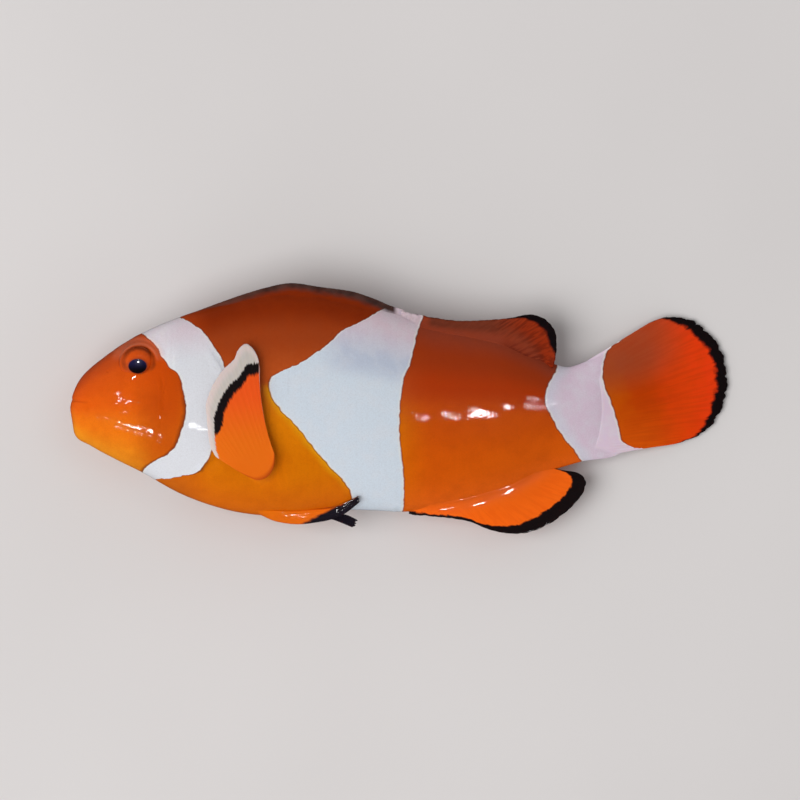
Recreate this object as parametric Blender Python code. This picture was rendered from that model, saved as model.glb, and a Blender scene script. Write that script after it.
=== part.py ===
"""A clownfish lying on its right flank, with its back fin folded and its left breast fin laid forward.

The head points to -X, the back to +Y, and the left flank faces up, +Z. The row's origin is on the
floor under the middle of the fish. Outlines are drawn in millimetres, with x behind the snout and y
above the mouth, on a fish of DRAWN_LENGTH from snout to tail root, and follow STANDARD_LENGTH.
"""

import math

import bmesh
import bpy
from mathutils import Vector

# Driving dimensions, in metres
STANDARD_LENGTH = 0.0724  # snout to the root of the tail fin
BODY_WIDTH = 0.0138  # greatest width, across both flanks

# Everything below is in millimetres of the drawing
DRAWN_LENGTH = 72.4
UNIT = STANDARD_LENGTH / DRAWN_LENGTH
HALF_WIDTH = BODY_WIDTH / UNIT / 2

GAP = 0.3  # free space between neighbouring pieces
FIN_HALF = 0.3  # half the thickness of a fin at its margin
FLAT_DEPTH = 0.15  # how much of the lower flank the floor takes away
REACH = 30.0  # half the height of a cutter, past every surface

RINGS = 44
RING_POINTS = 30
NOSE_BLUNTNESS = 0.08  # share of the body over which the rings crowd towards the snout
BODY_END = 75.4

SECTION_POWER = 2.1  # shape of a cross-section: 2 and 0.5 would be an ellipse
SECTION_ROUNDNESS = 0.58

# (distance behind the snout, height over the mouth)
BACK_LINE = [(0, -0.8), (1, 2.6), (4.2, 5.7), (10.3, 9.5), (19, 12.8), (26.4, 14.7), (31, 14.95),
             (38, 13.9), (48.4, 10.8), (58.7, 8.6), (63.5, 6.3), (67.6, 4.6), (70.3, 5.3), (75.4, 7.9)]
BELLY_LINE = [(0, -1.2), (0.4, -4.2), (2.6, -6.2), (9.2, -9.7), (15.7, -13.2), (22.3, -15.3),
              (28.6, -15.9), (38, -15.1), (48.4, -15.2), (58.7, -12.9), (65.5, -9.9), (70, -8.5),
              (75.4, -7.9)]
WIDEST_LEVEL = [(0, -1.0), (5, 0.6), (14, 0.8), (28, -0.2), (48, -1.4), (62, -1.6), (75.4, -0.7)]
# (distance behind the snout, share of the greatest half width)
WIDTH_LINE = [(0, 0.02), (0.4, 0.24), (1, 0.36), (2.6, 0.5), (5, 0.64), (9.2, 0.79), (14, 0.91),
              (20, 0.985), (25, 1), (32, 0.985), (40, 0.92), (48, 0.83), (56, 0.68), (62, 0.53),
              (67, 0.385), (72, 0.25), (75.4, 0.17)]
# (distance behind the snout, height of the fish's middle plane over the floor)
DROOP_LINE = [(0, HALF_WIDTH - FLAT_DEPTH), (38, HALF_WIDTH - FLAT_DEPTH), (48, 6.15), (58, 5.1),
              (66, 3.8), (72, 2.75), (78, 1.4), (81.5, 0.65), (84.5, FIN_HALF), (92, FIN_HALF)]

GILL_OPENING = [(-20, 11.5), (-13, 14.6), (-8, 19.4), (-4, 21.3), (0, 21.9), (4, 20.9), (8, 18.6),
                (13, 18.0), (20, 18.4)]  # (height, distance behind the snout)
STALK_FRONT = [(-20, 64.2), (-2, 66.4), (20, 64.2)]
TAIL_ROOT = [(-20, 69.4), (-8, 73.7), (-1, 74.9), (6, 73.7), (20, 69.4)]
GILL_COVER = [(20.7, 3.9), (21.75, 0), (21.15, -4), (19.3, -7.8), (16.6, -9.9), (13.9, -8.6),
              (12.5, -4), (12.6, 0.8), (14.6, 4.6), (17.8, 6.0), (20.7, 3.9)]
GILL_COVER_STEPS = 30
GILL_COVER_FLOOR = 3.3  # height of its flat inner face over the middle plane
JAW_REGION = [(-6, 0.05), (0.3, 0.05), (1.8, -0.2), (3.4, -0.6), (4.6, -3.2), (5.7, -12), (-6, -12)]

EYE_PLACE = (9.2, 4.8)
EYE_RADIUS = 2.55
EYE_BULGE = 0.75  # how far the eyeball stands out of the flank
EYE_STEPS = 20

SPINES, SOFT_RAYS, ANAL_RAYS, TAIL_RAYS, BREAST_RAYS, BELLY_FIN_RAYS = 10, 13, 12, 15, 15, 5
RAY_RELIEF = 0.14  # how much thicker a fin is on a ray than between two
FIN_ROOT = 1.2  # how deep a fin starts below the body's outline, before the body cuts it

SPINY_FIN_TOP = [(19.3, 12.95), (23.1, 14.5), (26.5, 15.4), (30, 16.05), (34.3, 15.4), (39.9, 14.6),
                 (42.7, 13.7), (45.2, 12.4)]
SOFT_FIN_BASE = (46.2, 64.2)
SOFT_FIN_MARGIN = [(46.3, 12.2), (50, 11.3), (53.2, 10.9), (59.6, 11.2), (62.7, 11.75), (64.5, 11.4),
                   (65.8, 10.3), (66.5, 8.6), (66.5, 6.4), (66.1, 4.3)]
SOFT_FIN_LEAN = 1.6  # how far the tip of the back fin leans to the left flank
ANAL_FIN_BASE = (46.3, 65.0)
ANAL_FIN_MARGIN = [(46.2, -15.75), (50.8, -16.1), (54.5, -16.7), (57.5, -17.9), (60.9, -18.4),
                   (64.2, -17.7), (67.7, -15.5), (69.8, -13.3), (70.6, -11.3), (69.6, -10.05),
                   (67.2, -9.65)]

TAIL_CENTRE = (67.0, -1.2)
# (degrees above straight back, distance from the centre)
TAIL_MARGIN = [(-21.6, 13.9), (-16.8, 16.6), (-8.5, 20.2), (-0.5, 22.1), (8.7, 23.2), (20, 23.6),
               (27.6, 22.9), (35, 21.5), (41, 19.1), (43.7, 17.4)]
TAIL_BASE = (-8.1, 7.0)  # lowest and highest point of its root

BREAST_CENTRE = (25.8, -9.9)
BREAST_MARGIN = [(90.9, 15.2), (92.9, 16.9), (95.3, 17.6), (99, 16.9), (107.6, 15.2), (116, 13.7),
                 (127, 12.0), (135.4, 9.9), (149, 7.8), (159, 6.0), (169, 4.3)]
BREAST_BASE = [(28.0, -8.7), (27.2, -10.5), (25.6, -11.0), (23.6, -10.2)]
BREAST_STAND = (0.4, 0.95)  # free space under the raised fin, at its root and at its margin
LOWER_BREAST_CENTRE = (22.2, -10.6)
LOWER_BREAST_MARGIN = [(-17, 14.5), (-12, 16.0), (-5, 16.8), (1, 16.2), (5, 14.3)]
LOWER_BREAST_BASE = [(24.4, -12.6), (23.9, -11.2), (24.2, -9.2)]

# Belly fins: middle line as (x, y, height over the middle plane), then width along it
BELLY_FIN_LEFT = [(26.0, -15.1, 2.0), (30, -15.2, 2.6), (35, -14.4, 3.4), (39.3, -13.4, 4.0)]
BELLY_FIN_RIGHT = [(26.0, -15.7, -1.2), (30, -16.1, -1.5), (34.5, -16.3, -1.7), (39.1, -16.8, -1.9)]
BELLY_FIN_WIDTH = [(0, 0.8), (0.35, 1.7), (0.7, 2.1), (0.9, 1.8), (1, 0.8)]
BELLY_FIN_TILT = 0.35  # rise of a belly fin across its width

ORANGE, WHITE, DARK = (0.62, 0.11, 0.012), (0.55, 0.56, 0.60), (0.02, 0.016, 0.02)
BROWN_ORANGE, RED_ORANGE = (0.30, 0.055, 0.012), (0.50, 0.06, 0.012)
SKIN_ROUGHNESS, EYE_ROUGHNESS = 0.32, 0.08


def smooth(knots):
    """A curve through (place, value) knots: cubic pieces whose slopes come from the knots beside them."""
    places, values = zip(*knots)
    slopes = []
    for i in range(len(knots)):
        a, b = max(i - 1, 0), min(i + 1, len(knots) - 1)
        slopes.append((values[b] - values[a]) / (places[b] - places[a]))

    def at(place):
        place = min(max(place, places[0]), places[-1])
        i = max(k for k in range(len(places) - 1) if places[k] <= place)
        step = places[i + 1] - places[i]
        t = (place - places[i]) / step
        return (
            values[i] * (2 * t**3 - 3 * t**2 + 1)
            + values[i + 1] * (3 * t**2 - 2 * t**3)
            + slopes[i] * step * (t**3 - 2 * t**2 + t)
            + slopes[i + 1] * step * (t**3 - t**2)
        )

    return at


def blunt(knots):
    """As smooth, on the square root of the place, so that the curve leaves the snout at a right angle."""
    at = smooth([(math.sqrt(place), value) for place, value in knots])
    return lambda place: at(math.sqrt(max(place, 0)))


def path(points):
    """A smooth curve through points in the plane or in space, asked for by its share from 0 to 1."""
    steps = [0.0]
    for a, b in zip(points, points[1:]):
        steps.append(steps[-1] + math.dist(a, b))
    curves = [smooth([(s / steps[-1], p[axis]) for s, p in zip(steps, points)])
              for axis in range(len(points[0]))]
    return lambda share: tuple(curve(share) for curve in curves)


back = blunt(BACK_LINE)
belly = blunt(BELLY_LINE)
widest = smooth(WIDEST_LEVEL)
width = blunt(WIDTH_LINE)
droop = smooth(DROOP_LINE)


def half_thickness(x, y, grow=0.0):
    """Distance from the middle plane to either flank at a point of the side view."""
    level = widest(x)
    edge = back(x) + grow - level if y > level else level - belly(x) + grow
    share = min(abs(y - level) / edge, 1)
    return (width(x) * HALF_WIDTH + grow) * (1 - share**SECTION_POWER) ** SECTION_ROUNDNESS


def new_object(name, vertices, faces, cutter=False):
    """An object in the drawing's place, hung on the fish's empty, with its faces turned outwards."""
    mesh = bpy.data.meshes.new(name)
    mesh.from_pydata([Vector(v) * UNIT for v in vertices], [], faces)
    shell = bmesh.new()
    shell.from_mesh(mesh)
    bmesh.ops.recalc_face_normals(shell, faces=shell.faces)
    shell.to_mesh(mesh)
    shell.free()
    obj = bpy.data.objects.new(name, mesh)
    bpy.context.scene.collection.objects.link(obj)
    obj.parent = fish
    if cutter:
        obj.hide_render = True
        obj.display_type = "WIRE"
    else:
        mesh.shade_smooth()
    return obj


def body_surface(name, grow=0.0, cutter=False):
    """The whole body without fins, as rings from snout to tail root. grow swells it all round."""
    vertices, faces = [], []
    far = math.sqrt(1 + NOSE_BLUNTNESS**-2) - 1
    for ring in range(RINGS + 1):
        place = ring / RINGS
        x = BODY_END * (math.sqrt(1 + (place / NOSE_BLUNTNESS) ** 2) - 1) / far
        for point in range(RING_POINTS):
            turn = 2 * math.pi * (point + 0.5) / RING_POINTS
            lift = math.sin(turn)
            edge = back(x) - widest(x) if lift > 0 else widest(x) - belly(x)
            y = widest(x) + (edge + grow) * lift
            side = math.copysign(half_thickness(x, y, grow), math.cos(turn))
            z = droop(x) + side
            vertices.append((x - grow if ring == 0 else x, y, z if grow else max(z, 0.0)))
    for ring in range(RINGS):
        for point in range(RING_POINTS):
            near, beside = ring * RING_POINTS, (point + 1) % RING_POINTS
            faces.append((near + point, near + beside, near + RING_POINTS + beside, near + RING_POINTS + point))
    faces.append(tuple(range(RING_POINTS)))
    faces.append(tuple(range(RINGS * RING_POINTS, (RINGS + 1) * RING_POINTS)))
    return new_object(name, vertices, faces, cutter)


def prism(name, outline, low=-REACH, high=REACH):
    """A cutter: an outline of the side view, pulled out across the fish."""
    count = len(outline)
    vertices = [(x, y, low) for x, y in outline] + [(x, y, high) for x, y in outline]
    faces = [tuple(range(count)), tuple(range(count, 2 * count))]
    faces += [(i, (i + 1) % count, count + (i + 1) % count, count + i) for i in range(count)]
    return new_object(name, vertices, faces, cutter=True)


def widened(outline, distance):
    """The outline with every point moved out from it, whichever way round its points run."""
    count = len(outline)
    area = sum(outline[i - 1][0] * outline[i][1] - outline[i][0] * outline[i - 1][1] for i in range(count))
    moved = []
    for i, (x, y) in enumerate(outline):
        sides = []
        for a, b in ((outline[i - 1], (x, y)), ((x, y), outline[(i + 1) % count])):
            sides.append(Vector((b[1] - a[1], a[0] - b[0])).normalized() * math.copysign(1, area))
        corner = (sides[0] + sides[1]).normalized()
        corner *= distance / corner.dot(sides[0])
        moved.append((x + corner.x, y + corner.y))
    return moved


def between(front, rear, steps=18, tall=20):
    """The region of the side view between two edges that are given as x over y, less half a gap at each."""
    heights = [tall - 2 * tall * i / steps for i in range(steps + 1)]
    outline = [(front(y) + GAP / 2, y) for y in heights]
    return outline + [(rear(y) - GAP / 2, y) for y in reversed(heights)]


def cut(obj, cutter, operation="DIFFERENCE"):
    step = obj.modifiers.new(cutter.name, "BOOLEAN")
    step.operation = operation
    step.object = cutter
    step.solver = "EXACT"


def finish(obj, colour, roughness=SKIN_ROUGHNESS):
    material = bpy.data.materials.new(obj.name)
    material.use_nodes = True
    shader = material.node_tree.nodes["Principled BSDF"]
    shader.inputs["Base Color"].default_value = (*colour, 1)
    shader.inputs["Roughness"].default_value = roughness
    shader.inputs["Metallic"].default_value = 0.0
    obj.data.materials.append(material)


def plate(name, colour, middle, half, rays, rows):
    """A fin: middle(across, out) is a point of its middle surface, half its half thickness there."""
    columns = 2 * rays + 1
    vertices, faces = [], []
    for side in (1, -1):
        for row in range(rows + 1):
            for column in range(columns):
                across, out = column / (columns - 1), row / rows
                x, y, z = middle(across, out)
                relief = 1 + (RAY_RELIEF if column % 2 else 0) * (1 - out * 0.6)
                vertices.append((x, y, max(z + side * half(across, out) * relief, 0)))
    layer = (rows + 1) * columns
    for row in range(rows):
        for column in range(columns - 1):
            a = row * columns + column
            faces.append((a, a + 1, a + columns + 1, a + columns))
            faces.append(tuple(layer + i for i in (a, a + columns, a + columns + 1, a + 1)))
    rim = [column for column in range(columns)]
    rim += [row * columns + columns - 1 for row in range(1, rows + 1)]
    rim += [rows * columns + column for column in range(columns - 2, -1, -1)]
    rim += [row * columns for row in range(rows - 1, 0, -1)]
    for a, b in zip(rim, rim[1:] + rim[:1]):
        faces.append((a, b, layer + b, layer + a))
    fin = new_object(name, vertices, faces)
    finish(fin, colour)
    return fin


def mix(a, b, share):
    return a + (b - a) * share


def polar_margin(centre, knots):
    """A fin's margin from (degrees, distance) knots, asked for by its share from 0 to 1."""
    reach = smooth(knots)

    def at(share):
        angle = mix(knots[0][0], knots[-1][0], share)
        turn = math.radians(angle)
        return centre[0] + reach(angle) * math.cos(turn), centre[1] + reach(angle) * math.sin(turn)

    return at


def make_body():
    """Head, lower jaw, gill covers, trunk and tail stalk, parted from one surface."""
    gill, stalk, root = smooth(GILL_OPENING), smooth(STALK_FRONT), smooth(TAIL_ROOT)
    regions = {
        "head": between(lambda y: -8.0, gill),
        "trunk": between(gill, stalk),
        "tail_stalk": between(stalk, root),
        "lower_jaw": JAW_REGION,
    }
    nodes = {}
    for name, outline in regions.items():
        nodes[name] = body_surface(name)
        cut(nodes[name], prism(name + "_region", outline), "INTERSECT")
        finish(nodes[name], WHITE if name == "tail_stalk" else ORANGE)
    cut(nodes["head"], prism("jaw_room", widened(JAW_REGION, GAP)))

    rim = path(GILL_COVER)
    outline = [rim(step / GILL_COVER_STEPS) for step in range(GILL_COVER_STEPS)]
    for side, name in ((1, "left"), (-1, "right")):
        middle = HALF_WIDTH - FLAT_DEPTH
        inner, outer = middle + side * GILL_COVER_FLOOR, middle + side * REACH
        cover = body_surface("gill_cover_" + name)
        cut(cover, prism("cover_region_" + name, outline, inner, outer), "INTERSECT")
        finish(cover, WHITE)
        room = widened(outline, GAP)
        cut(nodes["head"], prism("cover_room_" + name, room, inner - side * GAP, outer))
        cut(nodes["trunk"], prism("cover_clearance_" + name, room, inner - side * GAP, outer))
        make_eye(nodes["head"], side, name)


def make_eye(head, side, name):
    x, y = EYE_PLACE
    z = droop(x) + side * (half_thickness(x, y) + EYE_BULGE - EYE_RADIUS)
    for label, radius, cutter in (("eye_" + name, EYE_RADIUS, False), ("socket_" + name, EYE_RADIUS + GAP, True)):
        ball = bmesh.new()
        bmesh.ops.create_uvsphere(ball, u_segments=EYE_STEPS, v_segments=EYE_STEPS // 2, radius=radius)
        vertices = [(x + v.co.x, y + v.co.y, z + v.co.z) for v in ball.verts]
        faces = [tuple(v.index for v in face.verts) for face in ball.faces]
        ball.free()
        obj = new_object(label, vertices, faces, cutter)
        if cutter:
            cut(head, obj)
        else:
            finish(obj, DARK, EYE_ROUGHNESS)


def make_back_fins(body_room):
    """The folded spiny fin along the back, and the soft fin behind it."""
    top = smooth(SPINY_FIN_TOP)

    def spiny(across, out):
        x = mix(SPINY_FIN_TOP[0][0], SPINY_FIN_TOP[-1][0], across)
        return x, mix(back(x) - FIN_ROOT, top(x), out), droop(x)

    fin = plate("dorsal_fin_spiny", BROWN_ORANGE, spiny, lambda a, o: mix(1.3, FIN_HALF, o**0.7), SPINES, 3)
    cut(fin, body_room)

    margin = path(SOFT_FIN_MARGIN)

    def soft(across, out):
        root_x = mix(*SOFT_FIN_BASE, across)
        x, y = (mix(a, b, out) for a, b in zip((root_x, back(root_x) - FIN_ROOT), margin(across)))
        return x, y, droop(x) + SOFT_FIN_LEAN * out**2 * across**3

    fin = plate("dorsal_fin_soft", BROWN_ORANGE, soft, lambda a, o: mix(1.0, FIN_HALF, o**0.7), SOFT_RAYS, 6)
    cut(fin, body_room)


def make_anal_fin(body_room):
    margin = path(ANAL_FIN_MARGIN)

    def middle(across, out):
        root_x = mix(*ANAL_FIN_BASE, across)
        x, y = (mix(a, b, out) for a, b in zip((root_x, belly(root_x) + FIN_ROOT), margin(across)))
        return x, y, droop(x)

    fin = plate("anal_fin", ORANGE, middle, lambda a, o: mix(1.0, FIN_HALF, o**0.7), ANAL_RAYS, 6)
    cut(fin, body_room)


def make_tail_fin():
    margin = polar_margin(TAIL_CENTRE, TAIL_MARGIN)
    root = smooth(TAIL_ROOT)

    def middle(across, out):
        y = mix(*TAIL_BASE, across)
        x, y = (mix(a, b, out) for a, b in zip((root(y) + GAP / 2, y), margin(across)))
        return x, y, droop(x)

    def half(across, out):
        y = mix(*TAIL_BASE, across)
        return mix(max(half_thickness(root(y), y), FIN_HALF), FIN_HALF, 1 - (1 - out) ** 2.5)

    plate("caudal_fin", RED_ORANGE, middle, half, TAIL_RAYS, 7)


def make_breast_fins():
    """The left fin is laid forward over the flank. The right one is pressed flat between flank and floor."""
    margin, base = polar_margin(BREAST_CENTRE, BREAST_MARGIN), path(BREAST_BASE)

    def half(across, out):
        return mix(0.7, FIN_HALF, out**0.5)

    def raised(across, out):
        x, y = (mix(a, b, out) for a, b in zip(base(across), margin(across)))
        return x, y, droop(x) + half_thickness(x, y) + half(across, out) * (1 + RAY_RELIEF) + mix(*BREAST_STAND, out)

    plate("pectoral_fin_left", ORANGE, raised, half, BREAST_RAYS, 7)

    lower_margin = polar_margin(LOWER_BREAST_CENTRE, LOWER_BREAST_MARGIN)
    lower_base = path(LOWER_BREAST_BASE)

    def pressed(across, out):
        x, y = (mix(a, b, out) for a, b in zip(lower_base(across), lower_margin(across)))
        return x, y, FIN_HALF

    plate("pectoral_fin_right", ORANGE, pressed, lambda a, o: FIN_HALF, BREAST_RAYS // 2, 4)


def make_belly_fins(body_room):
    wide = smooth(BELLY_FIN_WIDTH)
    for name, points in (("pelvic_fin_left", BELLY_FIN_LEFT), ("pelvic_fin_right", BELLY_FIN_RIGHT)):
        line = path(points)

        def middle(across, out, line=line):
            x, y, z = line(out)
            offset = (across - 0.5) * wide(out)
            return x, y + offset, droop(x) + z + offset * BELLY_FIN_TILT

        fin = plate(name, DARK, middle, lambda a, o: mix(0.5, FIN_HALF, o), BELLY_FIN_RAYS, 7)
        cut(fin, body_room)


def centre_over_origin():
    """Moves the fish so that the row's origin is on the floor under the middle of its box."""
    bpy.context.view_layer.update()
    graph = bpy.context.evaluated_depsgraph_get()
    corners = []
    for obj in bpy.data.objects:
        if obj.type == "MESH" and not obj.hide_render:
            corners += [Vector(corner) for corner in obj.evaluated_get(graph).bound_box]
    for axis in (0, 1):
        places = [corner[axis] for corner in corners]
        fish.location[axis] = -(min(places) + max(places)) / 2


for old in list(bpy.data.objects):
    bpy.data.objects.remove(old)
fish = bpy.data.objects.new("fish", None)
bpy.context.scene.collection.objects.link(fish)

make_body()
room_for_body = body_surface("body_room", grow=GAP, cutter=True)
make_back_fins(room_for_body)
make_anal_fin(room_for_body)
make_tail_fin()
make_breast_fins()
make_belly_fins(room_for_body)
centre_over_origin()
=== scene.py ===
import math
import bpy
import bmesh
import numpy as np
from mathutils import Matrix, Vector


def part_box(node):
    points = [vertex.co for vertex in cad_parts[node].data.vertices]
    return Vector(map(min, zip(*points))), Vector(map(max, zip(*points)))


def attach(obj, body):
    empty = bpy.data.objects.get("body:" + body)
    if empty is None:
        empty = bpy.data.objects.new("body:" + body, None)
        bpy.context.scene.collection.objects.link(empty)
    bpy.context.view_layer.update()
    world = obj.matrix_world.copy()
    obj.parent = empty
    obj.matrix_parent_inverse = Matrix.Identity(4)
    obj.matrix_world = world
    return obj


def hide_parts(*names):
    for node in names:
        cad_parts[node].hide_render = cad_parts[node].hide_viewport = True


# A clownfish on its right flank: head to -X, back to +Y, left flank up.
# Shapes are drawn in millimetres, x behind the snout and y over the mouth, and placed from the frame.

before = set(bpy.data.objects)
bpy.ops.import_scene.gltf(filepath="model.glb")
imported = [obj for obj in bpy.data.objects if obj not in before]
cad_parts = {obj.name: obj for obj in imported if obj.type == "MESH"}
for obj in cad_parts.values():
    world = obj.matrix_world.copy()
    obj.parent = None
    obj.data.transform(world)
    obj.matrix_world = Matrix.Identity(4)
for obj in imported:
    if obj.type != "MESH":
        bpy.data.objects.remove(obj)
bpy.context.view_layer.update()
print("frame loaded")

mm = 0.001
rng = np.random.default_rng(11)

body = {
    "eyeAt": (9.2, 4.8),
    "halfWidth": 6.9,
    "sectionPower": 2.1,
    "sectionRoundness": 0.58,
    "coatDepth": 0.07,  # the skin lies this far inside the solids
    "back": [(0, -0.8), (1, 2.6), (4.2, 5.7), (10.3, 9.5), (19, 12.8), (26.4, 14.7), (31, 14.95), (38, 13.9),
             (48.4, 10.8), (58.7, 8.6), (63.5, 6.3), (67.6, 4.6), (70.3, 5.3), (74.6, 7.3), (77.6, 6.4),
             (79.4, 3.8), (80.2, 0.9)],
    "belly": [(0, -1.2), (0.4, -4.2), (2.6, -6.2), (9.2, -9.7), (15.7, -13.2), (22.3, -15.3), (28.6, -15.9),
              (38, -15.1), (48.4, -15.2), (58.7, -12.9), (65.5, -9.9), (70, -8.5), (74.6, -7.7), (77.6, -5.6),
              (79.4, -2.4), (80.2, 0.3)],
    "widest": [(0, -1.0), (5, 0.6), (14, 0.8), (28, -0.2), (48, -1.4), (62, -1.6), (75.4, -0.7), (80.2, 0.6)],
    "width": [(0, 0.02), (0.4, 0.24), (1, 0.36), (2.6, 0.5), (5, 0.64), (9.2, 0.79), (14, 0.91), (20, 0.985),
              (25, 1), (32, 0.985), (40, 0.92), (48, 0.83), (56, 0.68), (62, 0.53), (67, 0.385), (72, 0.25),
              (74, 0.165), (75.4, 0.1), (78, 0.04), (80.2, 0.015)],
    "droop": [(0, 6.75), (38, 6.75), (48, 6.15), (58, 5.1), (66, 3.8), (72, 2.75), (78, 1.4), (81.5, 0.65),
              (84.5, 0.3), (92, 0.3)],
}

eyeLow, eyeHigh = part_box("eye_left")
origin = np.array([(eyeLow.x + eyeHigh.x) / 2 - body["eyeAt"][0] * mm,
                   (eyeLow.y + eyeHigh.y) / 2 - body["eyeAt"][1] * mm, 0.0])


def curve(knots):
    # a smooth line through (place, value) knots
    places, values = (np.array(row, float) for row in zip(*knots))
    index, top = np.arange(len(places)), len(places) - 1
    after, before = np.minimum(index + 1, top), np.maximum(index - 1, 0)
    slopes = (values[after] - values[before]) / (places[after] - places[before])

    def at(place):
        place = np.clip(place, places[0], places[-1])
        i = np.clip(np.searchsorted(places, place, side="right") - 1, 0, top - 1)
        gap = places[i + 1] - places[i]
        t = (place - places[i]) / gap
        return (values[i] * (2 * t**3 - 3 * t**2 + 1) + values[i + 1] * (3 * t**2 - 2 * t**3)
                + slopes[i] * gap * (t**3 - 2 * t**2 + t) + slopes[i + 1] * gap * (t**3 - t**2))

    return at


def blunt(knots):
    # the same on the square root of the place, so the snout ends round
    at = curve([(math.sqrt(place), value) for place, value in knots])
    return lambda place: at(np.sqrt(np.maximum(place, 0)))


def path(points):
    # a smooth line through points, asked for by its share from 0 to 1
    gaps = [math.dist(a, b) for a, b in zip(points, points[1:])]
    places = np.concatenate([[0], np.cumsum(gaps)]) / sum(gaps)
    lines = [curve(list(zip(places, column))) for column in zip(*points)]
    return lambda share: np.stack([line(share) for line in lines], -1)


def mix(a, b, share):
    return a + (b - a) * share


def fade(value, low, high):
    t = np.clip((value - low) / (high - low), 0, 1)
    return t * t * (3 - 2 * t)


def window(value, start, full, last, end):
    # up from 0 to 1, and down again
    return fade(value, start, full) * (1 - fade(value, last, end))


def swell(off, *folds):
    # the sum of swellings, or grooves where height is below 0, each with its height, place and width
    return sum(height * np.exp(-(((off - place) / width) ** 2)) for height, place, width in folds)


def fromSpot(x, y, spot, tall=1.0):
    return np.hypot(x - spot[0], (y - spot[1]) * tall)


def lengths(vectors):
    return np.linalg.norm(vectors, axis=-1)


def placed(points):
    # from millimetres of the drawing to the frame's metres
    return np.asarray(points, float) * mm + origin


backLine, bellyLine, widthLine = blunt(body["back"]), blunt(body["belly"]), blunt(body["width"])
widestLine, droopLine = curve(body["widest"]), curve(body["droop"])


def edgeHeight(x, above):
    # from the widest level to the back or the belly
    return np.where(above, backLine(x) - widestLine(x), widestLine(x) - bellyLine(x))


def sideAt(x, share):
    return widthLine(x) * body["halfWidth"] * (1 - share ** body["sectionPower"]) ** body["sectionRoundness"]


def halfThickness(x, y):
    off = y - widestLine(x)
    return sideAt(x, np.clip(np.abs(off) / edgeHeight(x, off > 0), 0, 1))


def bareSurface(x, turn):
    # the body without its features, at a distance behind the snout and a turn round the section
    lift, side = np.sin(turn), np.sign(np.cos(turn))
    return np.stack([x + 0 * turn, widestLine(x) + edgeHeight(x, lift > 0) * lift,
                     droopLine(x) + sideAt(x, np.abs(lift)) * side], -1)


def unit(vectors):
    return vectors / np.maximum(lengths(vectors)[..., None], 1e-9)


face = {  # swellings are given as height, place and width
    "mouthEnd": 2.5, "mouthSlope": -0.1, "mouthFade": (-0.7, 0.15),
    "lips": [(0.04, 0.6, 0.4), (0.16, -1.25, 1.0), (-0.17, 0, 0.14)],
    "mouthPit": (-0.05, 0.05, 0.35), "mouthFold": (0.03, 0.8, 0.35), "mouthFoldFrom": (2.3, 2.9),
    "chin": (1.0, -5.5), "chinSwell": (0.28, 0, 1.5),
    "jawFold": (-0.03, 0, 0.6), "jawFrom": (3.2, -0.6), "jawSlope": -1.9, "jawSpan": (0.9, 2.2, 4.6, 6.4),
    "nostril": (5.1, 3.9), "nostrilFolds": [(0.04, 0.216, 0.13), (-0.22, 0, 0.12)],
    "orbit": (9.38, 5.27), "orbitRadius": 1.9,
    "brow": [(0.09, 0.56, 0.3), (-0.05, 1.1, 0.25), (0.05, 1.6, 0.3)],
    "lidSink": 0.22, "lidReach": (1.7, 0.6), "socketDepth": 1.4, "socketWall": (-0.75, -0.12),
    "cheekEdge": [(-9, 9.2), (-7, 11.0), (-3, 12.5), (1, 12.7), (4, 12.4)],
    "cheekFolds": [(0.02, -0.5, 0.5), (-0.03, 0, 0.3)], "cheekSpan": (-9, -7.6, 2.6, 4),
    "gill": [(-20, 11.5), (-13, 14.6), (-8, 19.4), (-4, 21.3), (0, 21.9), (4, 20.9), (8, 18.6), (13, 18.0),
             (20, 18.4)],
    "gillStep": 0.16, "gillSwell": (0.35, -0.6, 0.6), "gillDrop": (-0.06, 0.14), "gillRise": (0.3, 2.6),
    "gillSpan": (-12.5, -9, 5.0, 8.6),
    "finLobe": (26.2, -9.3), "lobeHeight": 0.75, "lobeSlope": (0.3, 2.2),
    "vent": (44.8, -15.0), "ventFolds": [(-0.1, 0, 0.35), (0.05, 0.6, 0.3)],
    "ripples": (0.007, 6.5), "headRipples": (0.004, 1.25), "headEnd": (11, 15),  # height and period
}
gillLine, cheekLine = curve(face["gill"]), curve(face["cheekEdge"])


def ripple(x, y, size, shift=0.0):
    # gentle swellings about a period apart, in no clear rows
    height, period = size
    u, v = 2 * math.pi * x / period, 2 * math.pi * y / period
    return height * (np.sin(0.83 * u + 0.46 * v + shift) * np.sin(0.91 * v - 0.38 * u + 1.7 * shift + 1.1)
                     + 0.6 * np.sin(1.37 * u - 1.12 * v + 2.3 * shift))


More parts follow.
